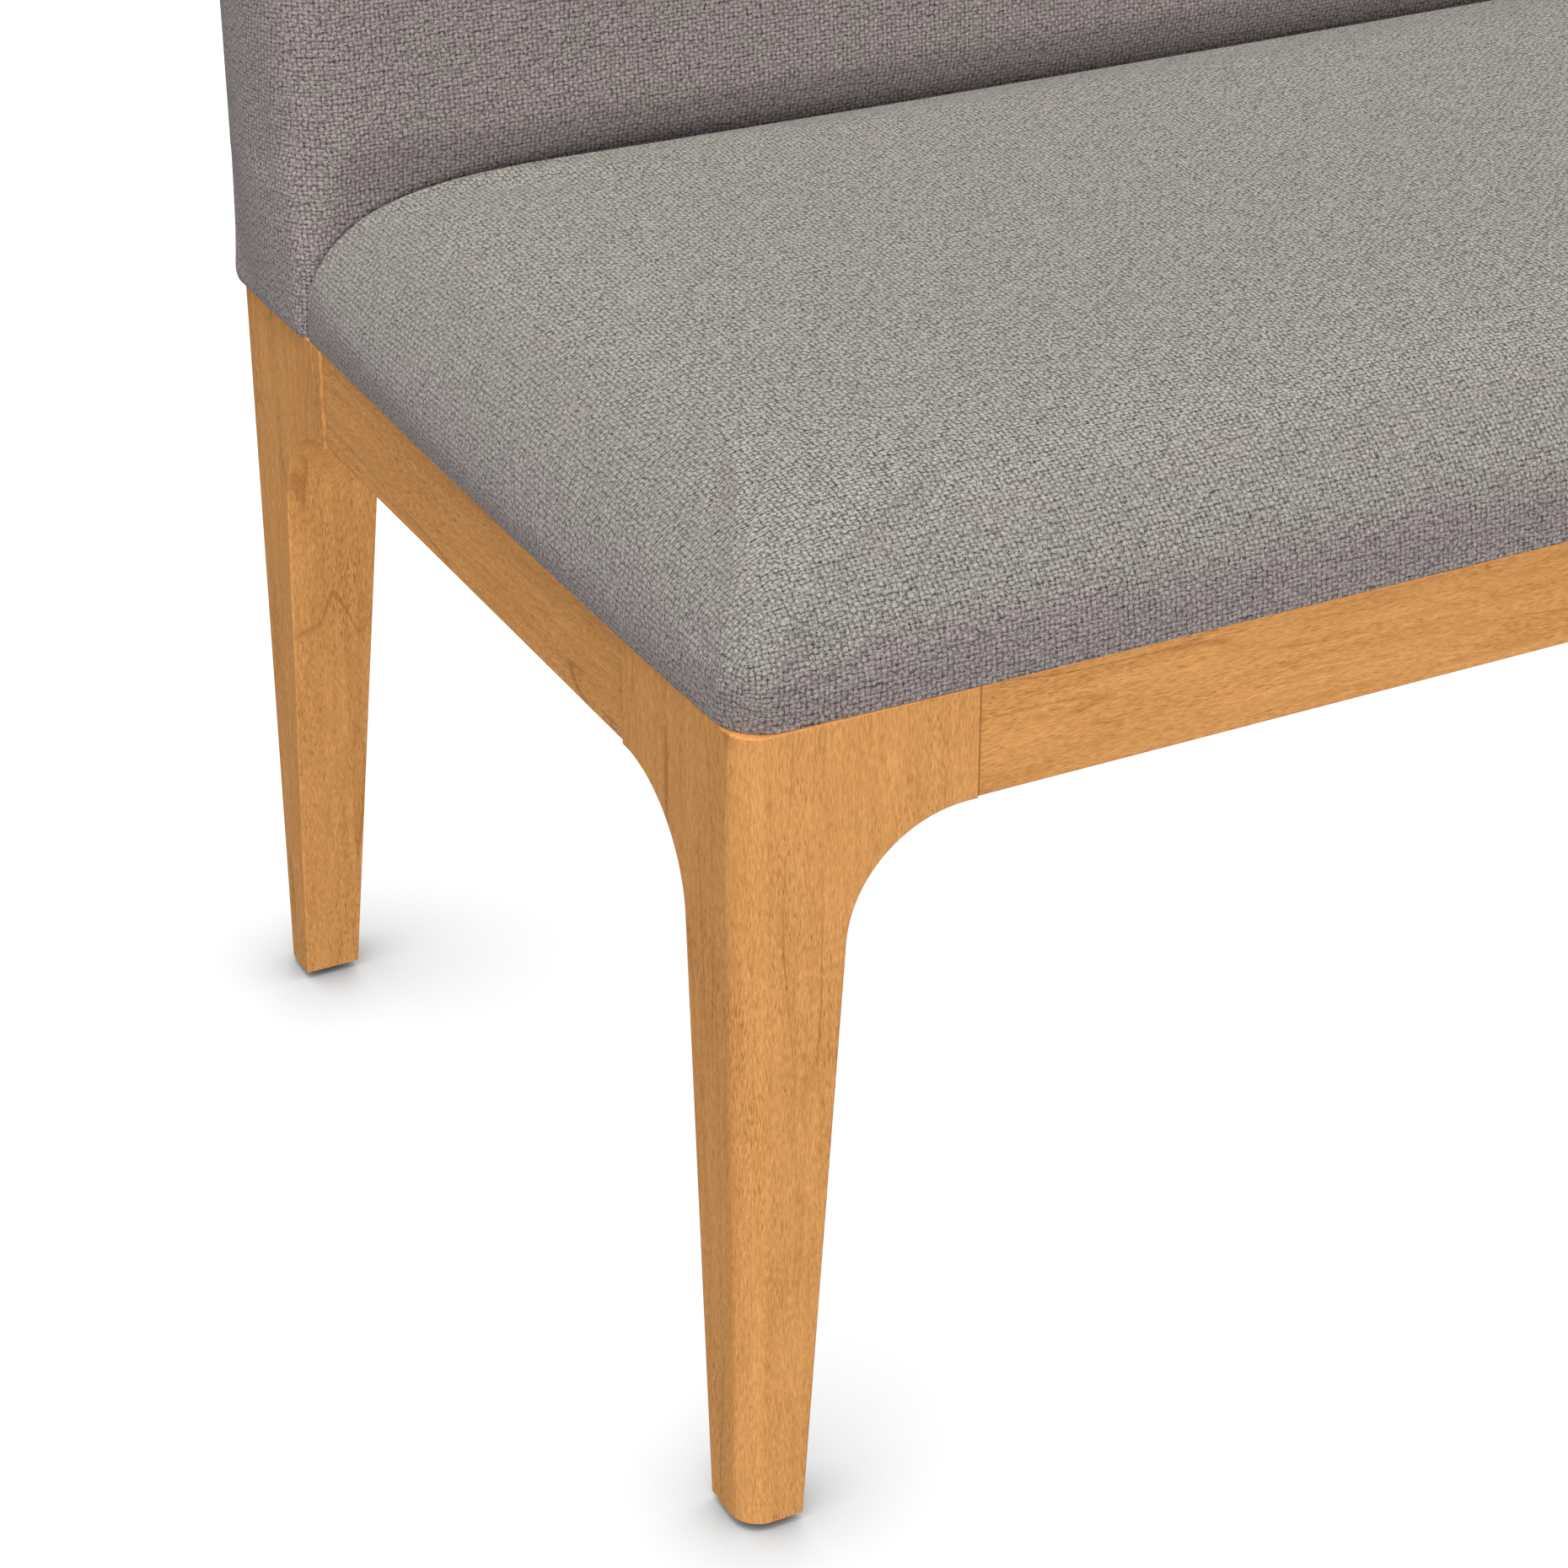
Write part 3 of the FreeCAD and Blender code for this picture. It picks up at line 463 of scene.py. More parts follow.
# %% [markdown]
# The fabric is a coarse plain weave of soft, uneven yarns: the warp yarns stand 2.5 mm apart and the
# weft yarns 2 mm. Where a warp yarn lies on top it shows as a plump crown, and the weft's crowns sit lower
# between them, as on a chequerboard. A sine pattern would look printed, so each set of crowns comes from
# a Voronoi texture on a grid turned by 45 degrees: every cell holds one crown, nudged from its place,
# and the hollows between differ as in real cloth. Each yarn wanders, swells and thins along its length,
# a finer noise ruffles its edges, and its fibres lie along it under a fuzz of loose ends.
# The pattern reads the cloth's own flat coordinates, kept in metres in the UV map.

# %% Weave group
WARP_PITCH = 2.5 * MM
WEFT_PITCH = 2.05 * MM
RUFFLE = 1.1 * MM
RUFFLES_PER_M = 700.0
WANDER = 2.5 * MM
WANDERS_PER_M = 60.0
SWELLS_PER_M = 90.0
ROW_STRIDE = 7.3
THIN, THICK = 0.9, 1.04
DOME_RADIUS = 0.6
WEFT_HEIGHT = 0.82
FIBRES_PER_M = 1000.0
FIBRE_STRETCH = 0.4
FUZZ_PER_M = 1900.0
TINTS_PER_M = 35.0


def wandering(group, flat, offset):
    """A slow sideways shift of the yarns."""
    moved = vector_calc(group, "ADD", flat, (offset, offset, 0.0))
    slow = cloud(group, moved, WANDERS_PER_M, 2.0)
    return calc(group, "MULTIPLY", calc(group, "SUBTRACT", slow, 0.5), WANDER)


def swelling(group, row, along, sideways):
    """How thick a yarn is at each place: slow noise along it, a new one for each yarn."""
    place = group.nodes.new("ShaderNodeCombineXYZ")
    wire(group, place.inputs[sideways], calc(group, "MULTIPLY", row, ROW_STRIDE))
    wire(group, place.inputs[1 - sideways], calc(group, "MULTIPLY", along, SWELLS_PER_M))
    return spread(group, cloud(group, place.outputs[0], 1.0, 1.0), 0.3, 0.7, THIN, THICK)


def crowns(group, grid, offset, jitter):
    """Rounded crowns, one to a cell of a grid, each with its own random value."""
    cells = group.nodes.new("ShaderNodeTexVoronoi")
    cells.voronoi_dimensions = "2D"
    wire(group, cells.inputs["Vector"], vector_calc(group, "ADD", grid, (offset, offset, 0.0)))
    cells.inputs["Scale"].default_value = 1.0
    wire(group, cells.inputs["Randomness"], jitter)
    reach = calc(group, "DIVIDE", cells.outputs["Distance"], DOME_RADIUS)
    dome = calc(group, "SUBTRACT", 1.0, calc(group, "MULTIPLY", reach, reach))
    colour = group.nodes.new("ShaderNodeSeparateColor")
    wire(group, colour.inputs[0], cells.outputs["Color"])
    return calc(group, "MAXIMUM", dome, 0.0), colour.outputs[0]


def ruffled(group, flat):
    """Flat coordinates pushed about a little, so that no yarn has a clean edge."""
    ruffle = group.nodes.new("ShaderNodeTexNoise")
    wire(group, ruffle.inputs["Vector"], flat)
    ruffle.inputs["Scale"].default_value = RUFFLES_PER_M
    ruffle.inputs["Detail"].default_value = 2.0
    push = vector_calc(group, "SUBTRACT", ruffle.outputs["Color"], (0.5, 0.5, 0.5))
    return vector_calc(group, "ADD", flat, vector_calc(group, "MULTIPLY", push, (RUFFLE, RUFFLE, 0.0)))


def either(group, choice, first, second):
    """The first value where the choice is 1 and the second where it is 0."""
    rest = calc(group, "SUBTRACT", 1.0, choice)
    return calc(group, "ADD", calc(group, "MULTIPLY", first, choice), calc(group, "MULTIPLY", second, rest))


def weave_group():
    """A plain weave from flat cloth coordinates: crowns, a value for each, fibres, fuzz and patches."""
    group, given, made = new_group(
        "plain_weave",
        [("Vector", "NodeSocketVector"), ("Warp pitch", "NodeSocketFloat"), ("Weft pitch", "NodeSocketFloat"),
         ("Jitter", "NodeSocketFloat")],
        [("Crown", "NodeSocketFloat"), ("Yarn", "NodeSocketFloat"), ("Fibre", "NodeSocketFloat"),
         ("Fuzz", "NodeSocketFloat"), ("Patch", "NodeSocketFloat")],
    )
    flat = ruffled(group, given.outputs["Vector"])
    parts = group.nodes.new("ShaderNodeSeparateXYZ")
    wire(group, parts.inputs[0], flat)
    steps = [calc(group, "DIVIDE", calc(group, "ADD", parts.outputs[i], wandering(group, flat, 3.7 * i)),
                  given.outputs[label]) for i, label in enumerate(("Warp pitch", "Weft pitch"))]
    grid = group.nodes.new("ShaderNodeCombineXYZ")
    wire(group, grid.inputs[0], calc(group, "MULTIPLY", calc(group, "ADD", *steps), 0.5))
    wire(group, grid.inputs[1], calc(group, "MULTIPLY", calc(group, "SUBTRACT", *steps), 0.5))
    warp, warp_value = crowns(group, grid.outputs[0], 0.0, given.outputs["Jitter"])
    weft, weft_value = crowns(group, grid.outputs[0], 0.5, given.outputs["Jitter"])
    warp_row, weft_row = [calc(group, "FLOOR", step) for step in steps]
    warp = calc(group, "MULTIPLY", warp, swelling(group, warp_row, parts.outputs[1], 0))
    weft = calc(group, "MULTIPLY", weft, swelling(group, weft_row, parts.outputs[0], 1))
    weft = calc(group, "MULTIPLY", weft, WEFT_HEIGHT)
    on_top = calc(group, "GREATER_THAN", warp, weft)
    wire(group, made.inputs["Crown"], calc(group, "MAXIMUM", warp, weft))
    wire(group, made.inputs["Yarn"], either(group, on_top, warp_value, weft_value))
    down, across = [cloud(group, vector_calc(group, "MULTIPLY", flat, stretch), FIBRES_PER_M, 0.0)
                    for stretch in ((1.0, FIBRE_STRETCH, 1.0), (FIBRE_STRETCH, 1.0, 1.0))]
    wire(group, made.inputs["Fibre"], either(group, on_top, down, across))
    wire(group, made.inputs["Fuzz"], cloud(group, flat, FUZZ_PER_M, 1.0, 0.5))
    wire(group, made.inputs["Patch"], cloud(group, flat, TINTS_PER_M, 3.0, 0.6))
    return group


plain_weave = weave_group()
print("weave group:", len(plain_weave.nodes), "nodes")

# %% [markdown]
# The upholstery mixes pale and mid grey crowns, warm rather than blue, over dark gaps. Painted light
# shifts the grey: it leans to green and grows lighter where a face looks up and to mauve where it is
# upright, with slow random patches between, and painted shading makes the weave stand out most on the
# flat top. A light sheen stands for the loose fibres that catch the light at the edges.

# %% Upholstery material
CROWN_PALE = (0.388, 0.361, 0.342, 1.0)
# the colour of the hollows: partly the yarn's own tone, partly painted shade in the pits of the weave
GAP_DARK = (0.028, 0.025, 0.0235, 1.0)
CROWN_JITTER = 0.2
MID_TONE = 0.5
# painted light and shading by facing: the weave's contrast on the top, and the colours for upright, upward
# and top faces
TOP_PAINTED_CONTRAST = 1.75
UPRIGHT_PAINTED_TINT = (1.120, 1.016, 1.040, 1.0)
UPWARD_PAINTED_TINT = (1.035, 1.045, 1.000, 1.0)
TOP_PAINTED_LIGHT = (1.135, 1.155, 1.090, 1.0)
FIBRE_SHARE = 0.43
FUZZ_SHARE = 0.66
OWN_TONE = 0.05


def upholstery_material():
    """Coarse warm grey weave."""
    material, tree, shader = new_material("grey_weave", roughness=0.92, specular_ior_level=0.1,
                                          sheen_weight=0.15, sheen_roughness=0.45)
    cloth = tree.nodes.new("ShaderNodeUVMap")
    cloth.uv_map = "cloth"
    weave = place_group(tree, plain_weave, vector=cloth.outputs[0], warp_pitch=WARP_PITCH,
                        weft_pitch=WEFT_PITCH, jitter=CROWN_JITTER)
    crown = weave.outputs["Crown"]
    fibre = spread(tree, weave.outputs["Fibre"], 0.35, 0.65, -0.5, 0.5)
    fuzz = spread(tree, weave.outputs["Fuzz"], 0.35, 0.65, -0.5, 0.5)
    loose = calc(tree, "ADD", calc(tree, "MULTIPLY", fibre, FIBRE_SHARE),
                 calc(tree, "MULTIPLY", fuzz, FUZZ_SHARE))
    facing = tree.nodes.new("ShaderNodeNewGeometry")
    parts = tree.nodes.new("ShaderNodeSeparateXYZ")
    wire(tree, parts.inputs[0], facing.outputs["Normal"])
    upward = parts.outputs["Z"]
    # partly painted shade: the tone falls with the crown's height, so the hollows between crowns are dark
    plump = calc(tree, "ADD", spread(tree, crown, 0.28, 1.0, 0.09, 0.92), loose)
    own = spread(tree, weave.outputs["Yarn"], 0.0, 1.0, -MID_TONE - OWN_TONE, OWN_TONE - MID_TONE)
    # painted shading: the weave's contrast is raised where the face looks up
    painted_contrast = spread(tree, upward, 0.90, 0.99, 1.0, TOP_PAINTED_CONTRAST)
    tone = calc(tree, "MULTIPLY_ADD", calc(tree, "ADD", plump, own), painted_contrast, MID_TONE)
    yarn = blend_colour(tree, tone, GAP_DARK, CROWN_PALE)
    # painted light: greener where the face looks up, mauve where it is upright, and lighter again on the top
    painted_facing = calc(tree, "ADD", spread(tree, upward, 0.1, 0.7),
               spread(tree, weave.outputs["Patch"], 0.3, 0.7, -0.5, 0.5))
    painted_light_tint = blend_colour(tree, painted_facing, UPRIGHT_PAINTED_TINT, UPWARD_PAINTED_TINT)
    painted_light_tint = blend_colour(tree, spread(tree, upward, 0.86, 1.0), painted_light_tint, TOP_PAINTED_LIGHT)
    yarn = blend_colour(tree, 1.0, yarn, painted_light_tint, "MULTIPLY")
    wire(tree, shader.inputs["Base Color"], yarn)
    height = calc(tree, "ADD", calc(tree, "MULTIPLY", crown, calc(tree, "ADD", weave.outputs["Yarn"], 1.0)),
                  calc(tree, "MULTIPLY", loose, 0.6))
    wire(tree, shader.inputs["Normal"], bump(tree, height, 0.8, 0.0006))
    return material


grey_weave = upholstery_material()
print("upholstery:", grey_weave.name)

# %% [markdown]
# The rest is seen only from below or not at all: black unwoven cloth, webbing, foam, plated steel and
# the dark plastic of the glides. Each still gets its own grain, from object coordinates.


# %% Small materials
def speckled(name, dark, pale, scale, stretch, depth, **fixed):
    """A finish mottled by noise, with a matching bump."""
    material, tree, shader = new_material(name, **fixed)
    coordinates = tree.nodes.new("ShaderNodeTexCoord")
    place = vector_calc(tree, "MULTIPLY", coordinates.outputs["Object"], stretch)
    speck = cloud(tree, place, scale, 4.0, 0.6)
    wire(tree, shader.inputs["Base Color"], blend_colour(tree, spread(tree, speck, 0.3, 0.7), dark, pale))
    wire(tree, shader.inputs["Normal"], bump(tree, speck, 0.4, depth))
    return material


dust_black = speckled("dust_cloth_black", (0.010, 0.010, 0.011, 1), (0.035, 0.034, 0.034, 1), 900.0,
                      (1, 1, 1), 0.0003, roughness=0.95)
webbing_dark = speckled("webbing_dark", (0.05, 0.045, 0.04, 1), (0.14, 0.13, 0.12, 1), 700.0,
                        (1, 1, 1), 0.0004, roughness=0.9)
padding_cream = speckled("padding_cream", (0.72, 0.66, 0.50, 1), (0.86, 0.82, 0.70, 1), 600.0,
                         (1, 1, 1), 0.0005, roughness=0.95)
plated_steel = speckled("plated_steel", (0.50, 0.49, 0.46, 1), (0.66, 0.65, 0.62, 1), 400.0,
                        (1, 1, 0.2), 0.00005, roughness=0.35, metallic=1.0)
glide_plastic = speckled("glide_plastic", (0.020, 0.017, 0.016, 1), (0.045, 0.040, 0.036, 1), 1200.0,
                         (1, 1, 1), 0.0001, roughness=0.55)
board_brown = speckled("board_brown", (0.20, 0.12, 0.06, 1), (0.30, 0.19, 0.10, 1), 500.0,
                       (1, 1, 1), 0.0002, roughness=0.7)
print("small materials ready")

# %% [markdown]
# The hard pieces keep their own shapes and only take a finish. The boards' grain follows their length:
# legs and back posts upright, long rails along the bench, side rails and bearers from front to rear.

# %% Finishes for the hard pieces
ALONG_Y = ("rail_left", "rail_right", "bearer_left", "bearer_right", "seat_frame_left", "seat_frame_right",
           "seat_crossbar_left", "seat_crossbar_right", "bearer_dowels")
UPRIGHT = ("leg_", "back_stile_", "back_end_post_")
SLOT_FINISH = {"dust_cloth": dust_black, "webbing": webbing_dark, "padding": padding_cream,
               "steel": plated_steel, "glide_plastic": glide_plastic, "upholstery": grey_weave}


def board_axis(name):
    """The axis that a board's grain follows."""
    if name.startswith(UPRIGHT):
        return "z"
    return "y" if name in ALONG_Y else "x"


for part in frame["record"]["subparts"]:
    name, slot = part["node"], part["material_slot"]
    if slot in SLOT_FINISH:
        finish = SLOT_FINISH[slot]
    elif name == "back_panel":
        finish = board_brown
    elif name.startswith("rail_") and slot == "show_wood" and name != "rail_dowels":
        finish = golden_rail[board_axis(name)]
    else:
        finish = (golden if slot == "show_wood" else raw)[board_axis(name)]
    nodes[name].data.materials.clear()
    nodes[name].data.materials.append(finish)

# %% [markdown]
# Both upholstered forms are stacks of level outlines, like the hoops of a basket. An outline is a
# rectangle with rounded corners, walked from corner to corner with the same number of steps at every
# level, so the steps join into clean rows of quads. Between its corners a side bows outwards: the seat's
# front almost evenly, the others as a shallow arc. A grid across the last outline closes the top.

# %% Outlines and stacks
CORNER_STEPS = 8
FULLEST = 0.38


def arc(centre, radius, start, stop, steps):
    """Points round part of a circle, angles in degrees."""
    turn = np.radians(np.linspace(start, stop, steps + 1))
    return np.stack([centre[0] + radius * np.cos(turn), centre[1] + radius * np.sin(turn)], axis=1)


def outline(half, front, rear, front_radius, rear_radius, front_bow, rear_bow, side_bow, steps, squareness):
    """Four runs of points, each from the middle of one corner to the middle of the next, front first."""
    fr, rr = front_radius, rear_radius
    centres = [(-half + fr, front + fr, fr, 225), (half - fr, front + fr, fr, 315),
               (half - rr, rear - rr, rr, 45), (-half + rr, rear - rr, rr, 135)]
    middle = front + FULLEST * (rear - front)
    runs = []
    for side in range(4):
        ax, ay, ar, a_mid = centres[side]
        bx, by, br, b_mid = centres[(side + 1) % 4]
        leave = arc((ax, ay), ar, a_mid, a_mid + 45, CORNER_STEPS)
        arrive = arc((bx, by), br, b_mid - 45, b_mid, CORNER_STEPS)
        share = np.linspace(0.0, 1.0, steps[side % 2] + 1)[1:-1, None]
        straight = leave[-1] * (1 - share) + arrive[0] * share
        run = np.concatenate([leave, straight, arrive[:-1]])
        along_x = np.clip(np.abs(run[:, 0]) / half, 0.0, 1.0)
        reach = np.where(run[:, 1] < middle, middle - front, rear - middle)
        along_y = np.clip(np.abs(run[:, 1] - middle) / reach, 0.0, 1.0)
        if side == 0:
            run[:, 1] -= front_bow * (1 - along_x ** squareness)
        elif side == 2:
            run[:, 1] -= rear_bow * (1 - along_x ** 2)
        else:
            run[:, 0] += (2 - side) * side_bow * (1 - along_y ** 2)
        runs.append(run)
    return runs


def cap_grid(runs, z):
    """A grid of points across an outline, blended from its four runs."""
    closed = [np.concatenate([runs[i], runs[(i + 1) % 4][:1]]) for i in range(4)]
    south, east, north, west = closed[0], closed[1], closed[2][::-1], closed[3][::-1]
    u = np.linspace(0, 1, len(south))[None, :, None]
    v = np.linspace(0, 1, len(east))[:, None, None]
    grid = ((1 - v) * south[None] + v * north[None] + (1 - u) * west[:, None] + u * east[:, None]
            - (1 - u) * (1 - v) * south[0] - u * (1 - v) * south[-1]
            - (1 - u) * v * north[0] - u * v * north[-1])
    return np.concatenate([grid, np.full(grid.shape[:2] + (1,), z)], axis=2)


def catmull(points, steps):
    """A smooth curve through control points."""
    points = np.asarray(points, float)
    ends = np.concatenate([2 * points[:1] - points[1:2], points, 2 * points[-1:] - points[-2:-1]])
    made = []
    for i in range(1, len(ends) - 2):
        a, b, c, d = ends[i - 1:i + 3]
        for t in np.linspace(0, 1, steps, endpoint=False):
            made.append(0.5 * (2 * b + (c - a) * t + (2 * a - 5 * b + 4 * c - d) * t ** 2
                               + (3 * b - a - 3 * c + d) * t ** 3))
    return np.array(made + [points[-1]])


class Quilt:
    """Collects the points, faces and flat cloth coordinates of one soft mesh."""

    def __init__(self):
        self.points, self.faces, self.cloth = [], [], []

    def add(self, points):
        start = len(self.points)
        self.points.extend(map(tuple, points))
        return np.arange(start, start + len(points))

    def face(self, corners, cloth):
        self.faces.append(tuple(int(c) for c in corners))
        self.cloth.append(cloth)

    def build(self, name):
        mesh = bpy.data.meshes.new(name)
        mesh.from_pydata(self.points, [], self.faces)
        layer = mesh.uv_layers.new(name="cloth")
        layer.data.foreach_set("uv", np.array([c for f in self.cloth for c in f], np.float32).ravel())
        mesh.validate()
        mesh.polygons.foreach_set("use_smooth", [True] * len(mesh.polygons))
        piece = bpy.data.objects.new(name, mesh)
        bpy.context.scene.collection.objects.link(piece)
        return piece


print("outline tools ready")

# %% [markdown]
# Padded fabric never follows a drawn profile exactly: the filling pushes it out and the hem holds it.
# A short cloth simulation with a little air pressure does that. The hem is pinned, each point may
# move only a few millimetres, and the result is written back into the mesh. One level of subdivision
# then smooths the form, with the hem's edges creased so that the fabric ends in a clean line on the rails.

# %% Swell a padded form
rail_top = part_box("rail_front")[1].z
SWELL_FRAMES = 12
SEAT_HEM_GAP = 0.15 * MM
HEM_CREASED = 2 * SEAT_HEM_GAP


def swell(piece, held, pressure, limit):
    """Blows a closed form out by cloth simulation, with some points held and every move capped."""
    scene = bpy.context.scene
    group = piece.vertex_groups.new(name="held")
    group.add([int(i) for i in held], 1.0, "REPLACE")
    cloth = piece.modifiers.new("swell", "CLOTH")
    cloth.settings.quality = 5
    cloth.settings.mass = 0.4
    cloth.settings.tension_stiffness = 20.0
    cloth.settings.compression_stiffness = 20.0
    cloth.settings.shear_stiffness = 10.0
    cloth.settings.bending_stiffness = 2.0
    cloth.settings.use_pressure = True
    cloth.settings.uniform_pressure_force = pressure
    cloth.settings.effector_weights.gravity = 0.0
    cloth.settings.vertex_group_mass = group.name
    cloth.collision_settings.use_collision = False
    cloth.point_cache.frame_start = 1
    cloth.point_cache.frame_end = SWELL_FRAMES
    for step in range(1, SWELL_FRAMES + 1):
        scene.frame_set(step)
    count = len(piece.data.vertices)
    before, after = np.empty(count * 3), np.empty(count * 3)
    piece.data.vertices.foreach_get("co", before)
    piece.evaluated_get(bpy.context.evaluated_depsgraph_get()).data.vertices.foreach_get("co", after)
    move = (after - before).reshape(-1, 3)
    length = np.linalg.norm(move, axis=1, keepdims=True)
    move *= limit * np.tanh(length / limit) / np.maximum(length, 1e-9)
    piece.modifiers.remove(cloth)
    piece.vertex_groups.remove(group)
    scene.frame_set(1)
    piece.data.vertices.foreach_set("co", (before.reshape(-1, 3) + move).ravel())
    piece.data.update()
    return float(np.abs(move).max())


def finish_soft(piece, replaced):
    """Smooths a soft piece and hands it to the frame."""
    piece.data.materials.append(grey_weave)
    creases = piece.data.edge_creases_ensure()
    for edge in piece.data.edges:
        if all(piece.data.vertices[v].co.z < rail_top + HEM_CREASED for v in edge.vertices):
            creases.data[edge.index].value = 1.0
    smooth = piece.modifiers.new("smooth", "SUBSURF")
    smooth.levels = 1
    smooth.render_levels = 1
    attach(piece, BENCH)
    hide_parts(*replaced)


print("swell ready")

# %% [markdown]
# The seat is a tight pad: its hem sits on the rails, the side stands almost upright and a little fuller
# than the hem, then a wide soft shoulder runs up to a gentle crown. At the rear it drops into the crease,
# a few millimetres clear of the back. The cloth is laid out flat as an upholsterer cuts it: one panel for
# the top with its four sides still attached, slit at the corners. So the corner edges are marked as
# seams, the flat top is pinned to its own plan, and Blender's unwrap works out the rest in metres.

# %% Seat
seat_low, seat_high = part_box("seat_cover")
seat_rise = seat_high.z - rail_top
SEAT_STEPS = (120, 40)
HEM_SIDE_INSET = 0.8 * MM
HEM_FRONT_INSET = 2.9 * MM
HEM_CORNER = 20.5 * MM
FRONT_BELLY = 3.2 * MM
SIDE_BELLY = 2.8 * MM
LIP = 24.0 * MM
BACK_CROWN = 8.0 * MM
BACK_LEAN = math.radians(4.5)
SLIT_REACH = 45.0 * MM
LOOKS_UP = 0.9
CAP_RAMP = 4.5
CAP_SHARE = 0.9
CORNER_GROWTH = 0.68
REAR_CORNER_START = 2.0 * MM
REAR_CORNER_GROWTH = 0.6
BELLY_FADE = 0.6
EVEN_BOW = 8
SHALLOW_ARC = 2
PROFILE_STEPS = 3
FREE_ROWS = 6
# share of the rise, inset at the front and sides, inset at the rear, in millimetres
SEAT_SIDE = [(0.0, 0.0, 1.0), (0.03, -0.4, 1.2), (0.1, -0.9, 2.0), (0.2, -1.1, 3.4), (0.3, -0.5, 4.4),
             (0.4, 1.4, 5.0), (0.5, 5.2, 5.2), (0.6, 11.5, 5.2), (0.7, 20.8, 5.2), (0.79, 33.5, 5.3),
             (0.87, 53.5, 5.8), (0.93, 82.0, 7.4), (0.97, 118.0, 10.5), (0.99, 150.0, 18.0)]
back_foot_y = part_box("back_cover")[0].y + BACK_CROWN


def seat_level(share, inset, rear):
    """One outline of the seat."""
    z = rail_top + SEAT_HEM_GAP + share * (seat_rise - SEAT_HEM_GAP)
    half = -base_low.x - HEM_SIDE_INSET - inset
    front = base_low.y + HEM_FRONT_INSET + inset
    radius = HEM_CORNER + CORNER_GROWTH * inset
    back = back_foot_y + (z - rail_top) * math.tan(BACK_LEAN) - rear
    full = 1.0 - BELLY_FADE * share
    return z, outline(half, front, back, radius, REAR_CORNER_START + REAR_CORNER_GROWTH * rear,
                      FRONT_BELLY * full, BACK_CROWN, SIDE_BELLY * full, SEAT_STEPS, squareness=EVEN_BOW)


def plan(quilt, corners):
    """Where a face's corners lie on the bench's plan, as first cloth coordinates."""
    return [quilt.points[c][:2] for c in corners]


def make_seat():
    """The seat pad and the points that its hem and rear hold still."""
    quilt = Quilt()
    levels = catmull(np.array(SEAT_SIDE) * (1.0, MM, MM), PROFILE_STEPS)
    stack = [seat_level(*level) for level in levels]
    rows = []
    for z, runs in stack:
        rows.append([quilt.add(np.column_stack([run, np.full(len(run), z)])) for run in runs])
    for below, above in zip(rows, rows[1:]):
        for side in range(4):
            low = np.r_[below[side], below[(side + 1) % 4][:1]]
            high = np.r_[above[side], above[(side + 1) % 4][:1]]
            for i in range(len(low) - 1):
                corners = (low[i], low[i + 1], high[i + 1], high[i])
                quilt.face(corners, plan(quilt, corners))
    top_z, top_runs = stack[-1]
    add_cap(quilt, rows[-1], cap_grid(top_runs, top_z), crown=(seat_high.z - top_z))
    lip = add_lip(quilt, rows[0])
    hem = [np.concatenate(row) for row in rows[:2]]
    held = np.concatenate(hem + [lip] + [row[2] for row in rows[:-FREE_ROWS]])
    pad = quilt.build("seat_pad")
    front_middle = SEAT_STEPS[0] // 2
    slit_rows = [row for row in rows if quilt.points[row[0][front_middle]][1] < SLIT_REACH + seat_low.y]
    slits = {run[0] for row in slit_rows for run in row}
    lay_flat(pad, slits | set(lip), top_from=len(np.concatenate(sum(rows, []))))
    return pad, held


def lay_flat(pad, slits, top_from):
    """Unwraps the seat's cloth in metres: corners slit, the flat top kept on its own plan."""
    mesh = pad.data
    for edge in mesh.edges:
        edge.use_seam = edge.vertices[0] in slits and edge.vertices[1] in slits
    bpy.context.view_layer.objects.active = pad
    bpy.ops.object.mode_set(mode="EDIT")
    work = bmesh.from_edit_mesh(mesh)
    cloth = work.loops.layers.uv["cloth"]
    for face in work.faces:
        face.select_set(True)
        flat_top = all(v.index >= top_from for v in face.verts)
        for loop in face.loops:
            loop[cloth].pin_uv = flat_top and face.normal.z > LOOKS_UP
    bmesh.update_edit_mesh(mesh)
    bpy.ops.uv.unwrap(method="CONFORMAL", margin=0.0, correct_aspect=False)
    bpy.ops.object.mode_set(mode="OBJECT")


def add_cap(quilt, border, grid, crown):
    """Closes a stack with a grid that shares the last outline's points."""
    high, wide = grid.shape[:2]
    index = np.zeros((high, wide), int)
    index[0, :] = np.r_[border[0], border[1][:1]]
    index[:, -1] = np.r_[border[1], border[2][:1]]
    index[-1, ::-1] = np.r_[border[2], border[3][:1]]
    index[::-1, 0] = np.r_[border[3], border[0][:1]]
    for j in range(1, high - 1):
        for i in range(1, wide - 1):
            u, v = i / (wide - 1), j / (high - 1)
            x, y, z = grid[j, i]
            ramp = min(1.0, CAP_RAMP * min(u, 1 - u) * wide / high)
            lift = crown * ramp * (1 - (2 * v - 1) ** 2) ** 0.5
            index[j, i] = quilt.add([(x, y, z + lift * CAP_SHARE)])[0]
    for j in range(high - 1):
        for i in range(wide - 1):
            corners = (index[j, i], index[j, i + 1], index[j + 1, i + 1], index[j + 1, i])
            quilt.face(corners, plan(quilt, corners))


